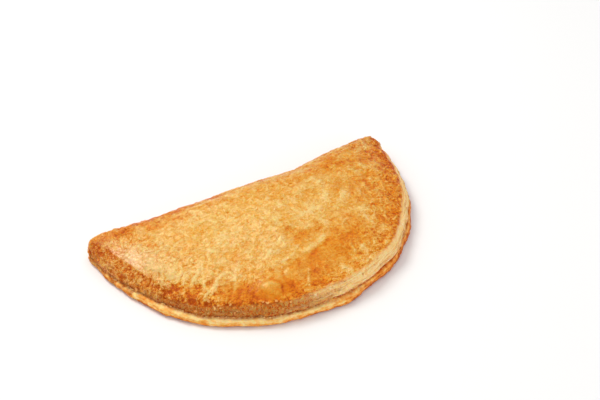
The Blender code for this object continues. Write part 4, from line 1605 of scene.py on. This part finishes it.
    def build(self, material: bpy.types.Material) -> Skin:
        """Makes the crust: edge rings, rings of the top and, below, the rings of the flat base.

        Top and base both shrink to the line under the crown, where points that meet are one.

        Args:
            material: its finish.

        Returns:
            The grid of the curved side, for what lies on it.
        """
        st = self.form.stations(self.front, self.fold)
        spine, same = self.form.spine(st)
        crown, from_cut, from_fold = self.crown_grid(st, spine)
        edge, place = self.edge_grid(st, crown[0, :, 2])
        below = np.zeros(edge.shape[:2])
        place = np.concatenate([place, GLAZED_ROW + np.arange(self.crown_rings + 1)])
        points = self.rounded(np.concatenate([edge, crown]), len(edge))
        at = self.ground(points, st, place, np.concatenate([below, from_cut]),
                         np.concatenate([below, from_fold]))
        relief = self.fine_relief(at, st.from_tip)
        values = self.attributes(at, st, relief)
        points = points + grid_normals(points) * relief[..., None]
        points[..., 2] = np.maximum(points[..., 2], 0.0)
        middle = (points.min(axis=(0, 1)) + points.max(axis=(0, 1))) / 2
        middle[2] = 0.0

        # The flat base is three more rings below the first; its last one and the last ring of the
        # top use one point number for all stations that meet.
        rings, count = points.shape[:2]
        steps = np.array(self.base_steps)[:, None, None]
        flat = np.column_stack([spine, np.zeros(count)])
        base = points[0][None] * (1.0 - steps) + flat[None] * steps
        index = np.arange((rings + len(steps)) * count).reshape(-1, count)
        index[rings - 1], index[-1] = index[rings - 1, same], index[-1, same]
        under = ring_faces(np.concatenate([index[:1], index[rings:]]))[:, [1, 0, 3, 2]]
        for key, value in values.items():
            plain = np.broadcast_to(np.array(UNDERSIDE[key]), base.shape[:2] + value.shape[2:])
            values[key] = np.concatenate([value, plain]).reshape(-1, *value.shape[2:])
        mesh_piece("pie_crust", np.concatenate([points, base]).reshape(-1, 3) - middle,
                   np.concatenate([ring_faces(index[:rings]), under]), material, values)
        points = points - middle
        return Skin(points[:, :st.front], grid_normals(points)[:, :st.front], place,
                    st.share[:st.front])


class Bed(Enum):
    """Where loose pastry lies: the least and the greatest place among the edge's coarse rows."""

    LEDGE = (5.2, 6.2)
    CREVICE = (6.4, 7.6)
    WALL = (8.5, 12.4)
    GLAZE_EDGE = (12.6, 15.0)


@dataclass(frozen=True)
class Scatter:
    """A stretch of the curved side, given in shares, that carries count pieces of loose pastry.

    Their sizes run from least to most millimetres, before they are stretched; lift is how many
    half-thicknesses they lie above the skin.
    """

    bed: Bed
    first: float
    last: float
    count: int
    least: float
    most: float
    lift: float = 0.3


@dataclass
class PastryLips:
    """Edges of single pastry layers that stand out of the cut wall as thin ragged lips.

    Each of the runs is its first and last share, the number of lips that start there and how far
    they stand out; lengths of lips are shares too.
    """

    seed: int = 301
    samples: int = 44
    runs: tuple = ((0.56, 0.97, 18, 0.22), (0.36, 0.56, 6, 0.18))
    longest: float = 0.085
    shortest: float = 0.02
    thickness: float = 0.15
    rows: tuple = (8.4, 12.7)
    row_limits: tuple = (8.2, 12.9)
    share_limits: tuple = (0.02, 0.985)

    def build(self, skin: Skin, material: bpy.types.Material) -> bpy.types.Object:
        """Makes the lips as one piece.

        A lip runs along the wall from a start share over its length while its row drifts a
        little; its section is a flat ellipse of six points, which sinks half into the wall and
        shrinks to nothing at both ends as the square root of a sine.

        Args:
            skin: the crust's grid.
            material: the finish.

        Returns:
            The piece.
        """
        draw = np.random.default_rng(self.seed)
        first, row, reach = (np.concatenate(part) for part in zip(*(
            (draw.uniform(low, high, count), draw.uniform(*self.rows, count),
             draw.uniform(0.5, 1.3, count) * out) for low, high, count, out in self.runs)))
        length = draw.uniform(self.shortest, self.longest, len(first))
        t = np.linspace(0.0, 1.0, self.samples)
        share = np.clip(first[:, None] + (t[None] - 0.5) * length[:, None], *self.share_limits)
        drift = draw.uniform(-0.5, 0.5, len(first))
        rows = np.clip(row[:, None] + drift[:, None] * (t[None] - 0.5), *self.row_limits)
        middle, out = skin.at(share, rows)
        along = np.gradient(middle, axis=1)
        along /= np.maximum(np.linalg.norm(along, axis=-1, keepdims=True), 1e-9)
        across = np.cross(along, out)
        taper = np.sqrt(np.sin(np.pi * np.clip(t, 0.001, 0.999)))[None]
        ragged = 0.7 + 0.5 * noise(share * 230.0 / 1.3, rows * 9.0, self.seed)
        width = (reach[:, None] * taper * ragged)[..., None, None]
        thick = (self.thickness * taper)[..., None, None]
        turn = np.linspace(0.0, 2.0 * math.pi, 6, endpoint=False)
        points = (middle[:, :, None] + out[:, :, None] * (np.cos(turn)[:, None] * width)
                  + across[:, :, None] * (np.sin(turn)[:, None] * thick))
        points[..., 2] = np.maximum(points[..., 2], 0.1)
        index = np.arange(points[..., 0].size).reshape(points.shape[:3])
        caps = [index[:, end, corners] for end, corners in (
            (0, [0, 5, 4, 3]), (0, [0, 3, 2, 1]), (-1, [0, 1, 2, 3]), (-1, [0, 3, 4, 5]))]
        return mesh_piece("pastry_lips", points.reshape(-1, 3),
                          np.concatenate([ring_faces(index)] + caps), material)


@dataclass
class LoosePastry:
    """Crumbs and flakes: small closed lumps, or thin curled leaves, strewn on the crust."""

    name: str
    seed: int
    thin: float
    long: float
    curl: float
    scatters: tuple
    rings: int = 7
    sides: int = 9

    def build(self, skin: Skin, material: bpy.types.Material) -> bpy.types.Object:
        """Makes all of them as one piece.

        Each is a ball whose rows run from pole to pole, stretched to its length, width and
        thickness, bent upwards as the square of its length and roughened by a random factor per
        point.

        Args:
            skin: the crust's grid.
            material: the finish.

        Returns:
            The piece.
        """
        draw = np.random.default_rng(self.seed)
        share, row, size, lift = (np.concatenate(part) for part in zip(*(
            (draw.uniform(lot.first, lot.last, lot.count), draw.uniform(*lot.bed.value, lot.count),
             draw.uniform(0.0, 1.0, lot.count) ** 2 * (lot.most - lot.least) + lot.least,
             np.full(lot.count, lot.lift)) for lot in self.scatters)))
        count = len(share)
        place, out = skin.at(share, row)
        other = np.cross(out, draw.normal(0.0, 1.0, (count, 3)))
        other /= np.linalg.norm(other, axis=1, keepdims=True)
        third = np.cross(out, other)
        tilt = draw.uniform(-0.5, 0.5, count)[:, None]
        up = out + other * tilt
        up /= np.linalg.norm(up, axis=1, keepdims=True)
        other = np.cross(third, up)

        latitude = np.linspace(0.0, math.pi, self.rings)[:, None]
        longitude = np.linspace(0.0, 2.0 * math.pi, self.sides, endpoint=False)[None]
        ball = np.stack([np.sin(latitude) * np.cos(longitude),
                         np.sin(latitude) * np.sin(longitude),
                         np.broadcast_to(np.cos(latitude), (self.rings, self.sides))], axis=-1)
        rough = draw.uniform(0.78, 1.22, (count, self.rings, self.sides, 1))
        rough[:, 0], rough[:, -1] = 1.0, 1.0
        ball = ball[None] * rough
        half = (size / 2)[:, None, None]
        x = ball[..., 0] * half * self.long
        y = ball[..., 1] * half * draw.uniform(0.55, 1.0, count)[:, None, None]
        z = ball[..., 2] * half * self.thin + self.curl * half * ball[..., 0] ** 2
        points = (place[:, None, None] + x[..., None] * other[:, None, None]
                  + y[..., None] * third[:, None, None]
                  + (z + (lift[:, None, None] * half * self.thin))[..., None] * up[:, None, None])
        points[..., 2] = np.maximum(points[..., 2], 0.15)
        return mesh_piece(self.name, points.reshape(-1, 3), self.ball_faces(count), material)

    def ball_faces(self, count: int) -> Array:
        """Faces of closed balls, whose first and last rows are single points.

        Args:
            count: how many balls.

        Returns:
            Rows of four point numbers; a triangle repeats its last number.
        """
        index = np.arange(count * self.rings * self.sides).reshape(count, self.rings, self.sides)
        index[:, [0, -1]] = index[:, [0, -1], :1]
        faces = ring_faces(index)[:, [3, 2, 1, 0]]
        start = faces[:, 0] == faces[:, 1]
        faces[start] = faces[start][:, [2, 3, 0, 0]]
        return faces


@dataclass
class Studio:
    """Pale floor, soft overhead light and the camera at the photograph's angle."""

    target: tuple = (0.0, 0.006, 0.010)
    azimuth: float = -28.0
    elevation: float = 44.0
    distance: float = 0.8
    lens: float = 96.0
    sensor: float = 36.0
    aim_right: float = 0.0138
    aim_up: float = 0.01645
    floor_half: float = 3.0
    floor_height: float = -0.0002
    floor_tone: tuple = (0.93, 0.93, 0.93)
    floor_roughness: float = 0.85
    sky: tuple = ((0.0, (0.88, 0.88, 0.88)), (0.75, (1.0, 1.0, 1.0)))
    sky_strength: float = 0.72

    def camera(self) -> None:
        """A long lens; it aims right of and above the pie, which stands left of the middle."""
        turn, tilt = math.radians(self.azimuth), math.radians(self.elevation)
        back = Vector((math.sin(turn) * math.cos(tilt), -math.cos(turn) * math.cos(tilt),
                       math.sin(tilt)))
        right = Vector((math.cos(turn), math.sin(turn), 0.0))
        place = Vector(self.target) + back * self.distance
        aim = Vector(self.target) + right * self.aim_right + back.cross(right) * self.aim_up
        data = bpy.data.cameras.new("camera")
        data.lens, data.sensor_width = self.lens, self.sensor
        view = (place - aim).normalized()
        side = Vector((0.0, 0.0, 1.0)).cross(view).normalized()
        axes = Matrix((side, view.cross(side), view)).transposed()
        camera = bpy.data.objects.new("camera", data)
        camera.matrix_world = Matrix.Translation(place) @ axes.to_4x4()
        bpy.context.scene.collection.objects.link(camera)
        bpy.context.scene.camera = camera

    def area_light(self, name: str, place: tuple, size: float, power: float, colour: tuple,
                   mirrored: bool = True) -> None:
        """A square soft box that faces the pie.

        Args:
            name: the light's name.
            place: where it hangs.
            size: its width.
            power: its power in watts.
            colour: its colour.
            mirrored: whether it shows as a shine on the glaze.
        """
        data = bpy.data.lights.new(name, "AREA")
        data.shape, data.size, data.energy, data.color = "SQUARE", size, power, colour
        light = bpy.data.objects.new(name, data)
        view = (Vector(place) - Vector(self.target)).normalized()
        light.rotation_euler = view.to_track_quat("Z", "Y").to_euler()
        light.location = place
        light.visible_glossy = mirrored
        bpy.context.scene.collection.objects.link(light)

    def floor(self) -> None:
        """A plain pale floor just under the pie."""
        half, low = self.floor_half, self.floor_height
        mesh = bpy.data.meshes.new("floor")
        mesh.from_pydata([(-half, -half, low), (half, -half, low), (half, half, low),
                          (-half, half, low)], [], [(0, 1, 2, 3)])
        floor = bpy.data.objects.new("floor", mesh)
        material, graph, shader = new_material("pale_floor")
        graph.fill(shader, {"Base Color": self.floor_tone, "Roughness": self.floor_roughness})
        mesh.materials.append(material)
        bpy.context.scene.collection.objects.link(floor)

    def world(self) -> None:
        """An even pale light from all around, a little brighter from above."""
        world = bpy.data.worlds.new("studio")
        world.use_nodes = True
        graph = Graph(world.node_tree)
        climb = graph.parts("SeparateXYZ", graph.wire("TexCoord", {}, "Generated"))[2]
        graph.fill(world.node_tree.nodes["Background"],
                   {"Color": graph.ramp(climb, self.sky), "Strength": self.sky_strength})
        bpy.context.scene.world = world

    def build(self) -> None:
        """Makes the floor, the world, the lights and the camera."""
        self.floor()
        self.world()
        self.area_light("overhead", (-0.23, 0.43, 0.76), 0.36, 4.0, (1.0, 0.98, 0.95))
        self.area_light("front_fill", (0.22, -0.85, 0.30), 0.5, 1.5, (1.0, 0.97, 0.93), False)
        bpy.context.scene.view_settings.view_transform = "Standard"
        self.camera()


FLAKES = LoosePastry("edge_flakes", seed=401, thin=0.16, long=1.3, curl=0.35, scatters=(
    Scatter(Bed.GLAZE_EDGE, 0.05, 0.46, 14, 0.7, 1.6), Scatter(Bed.WALL, 0.06, 0.50, 46, 0.7, 1.8),
    Scatter(Bed.WALL, 0.50, 0.98, 16, 0.7, 1.6), Scatter(Bed.LEDGE, 0.05, 0.95, 40, 0.8, 1.8)))
CRUMBS = LoosePastry("ledge_crumbs", seed=402, thin=0.7, long=1.1, curl=0.0, scatters=(
    Scatter(Bed.LEDGE, 0.03, 0.40, 90, 0.4, 1.2),
    Scatter(Bed.CREVICE, 0.04, 0.56, 110, 0.4, 1.2, 1.4),
    Scatter(Bed.CREVICE, 0.56, 0.97, 60, 0.4, 0.9)))


def main() -> None:
    """Builds the crust, what lies on it and the studio."""
    logging.basicConfig(level=logging.INFO, format="%(name)s: %(message)s")
    skin = CrustBody(PieForm()).build(CrustFinish().build(browning_group(), pits_group()))
    PastryLips().build(skin, CrumbFinish(toasted=tone(200, 118, 48)).build("layer_edges"))
    FLAKES.build(skin, CrumbFinish().build("loose_flakes"))
    CRUMBS.build(skin, CrumbFinish(tone(254, 208, 132), tone(226, 138, 48)).build("loose_crumbs"))
    Studio().build()


if __name__ == "__main__":
    main()
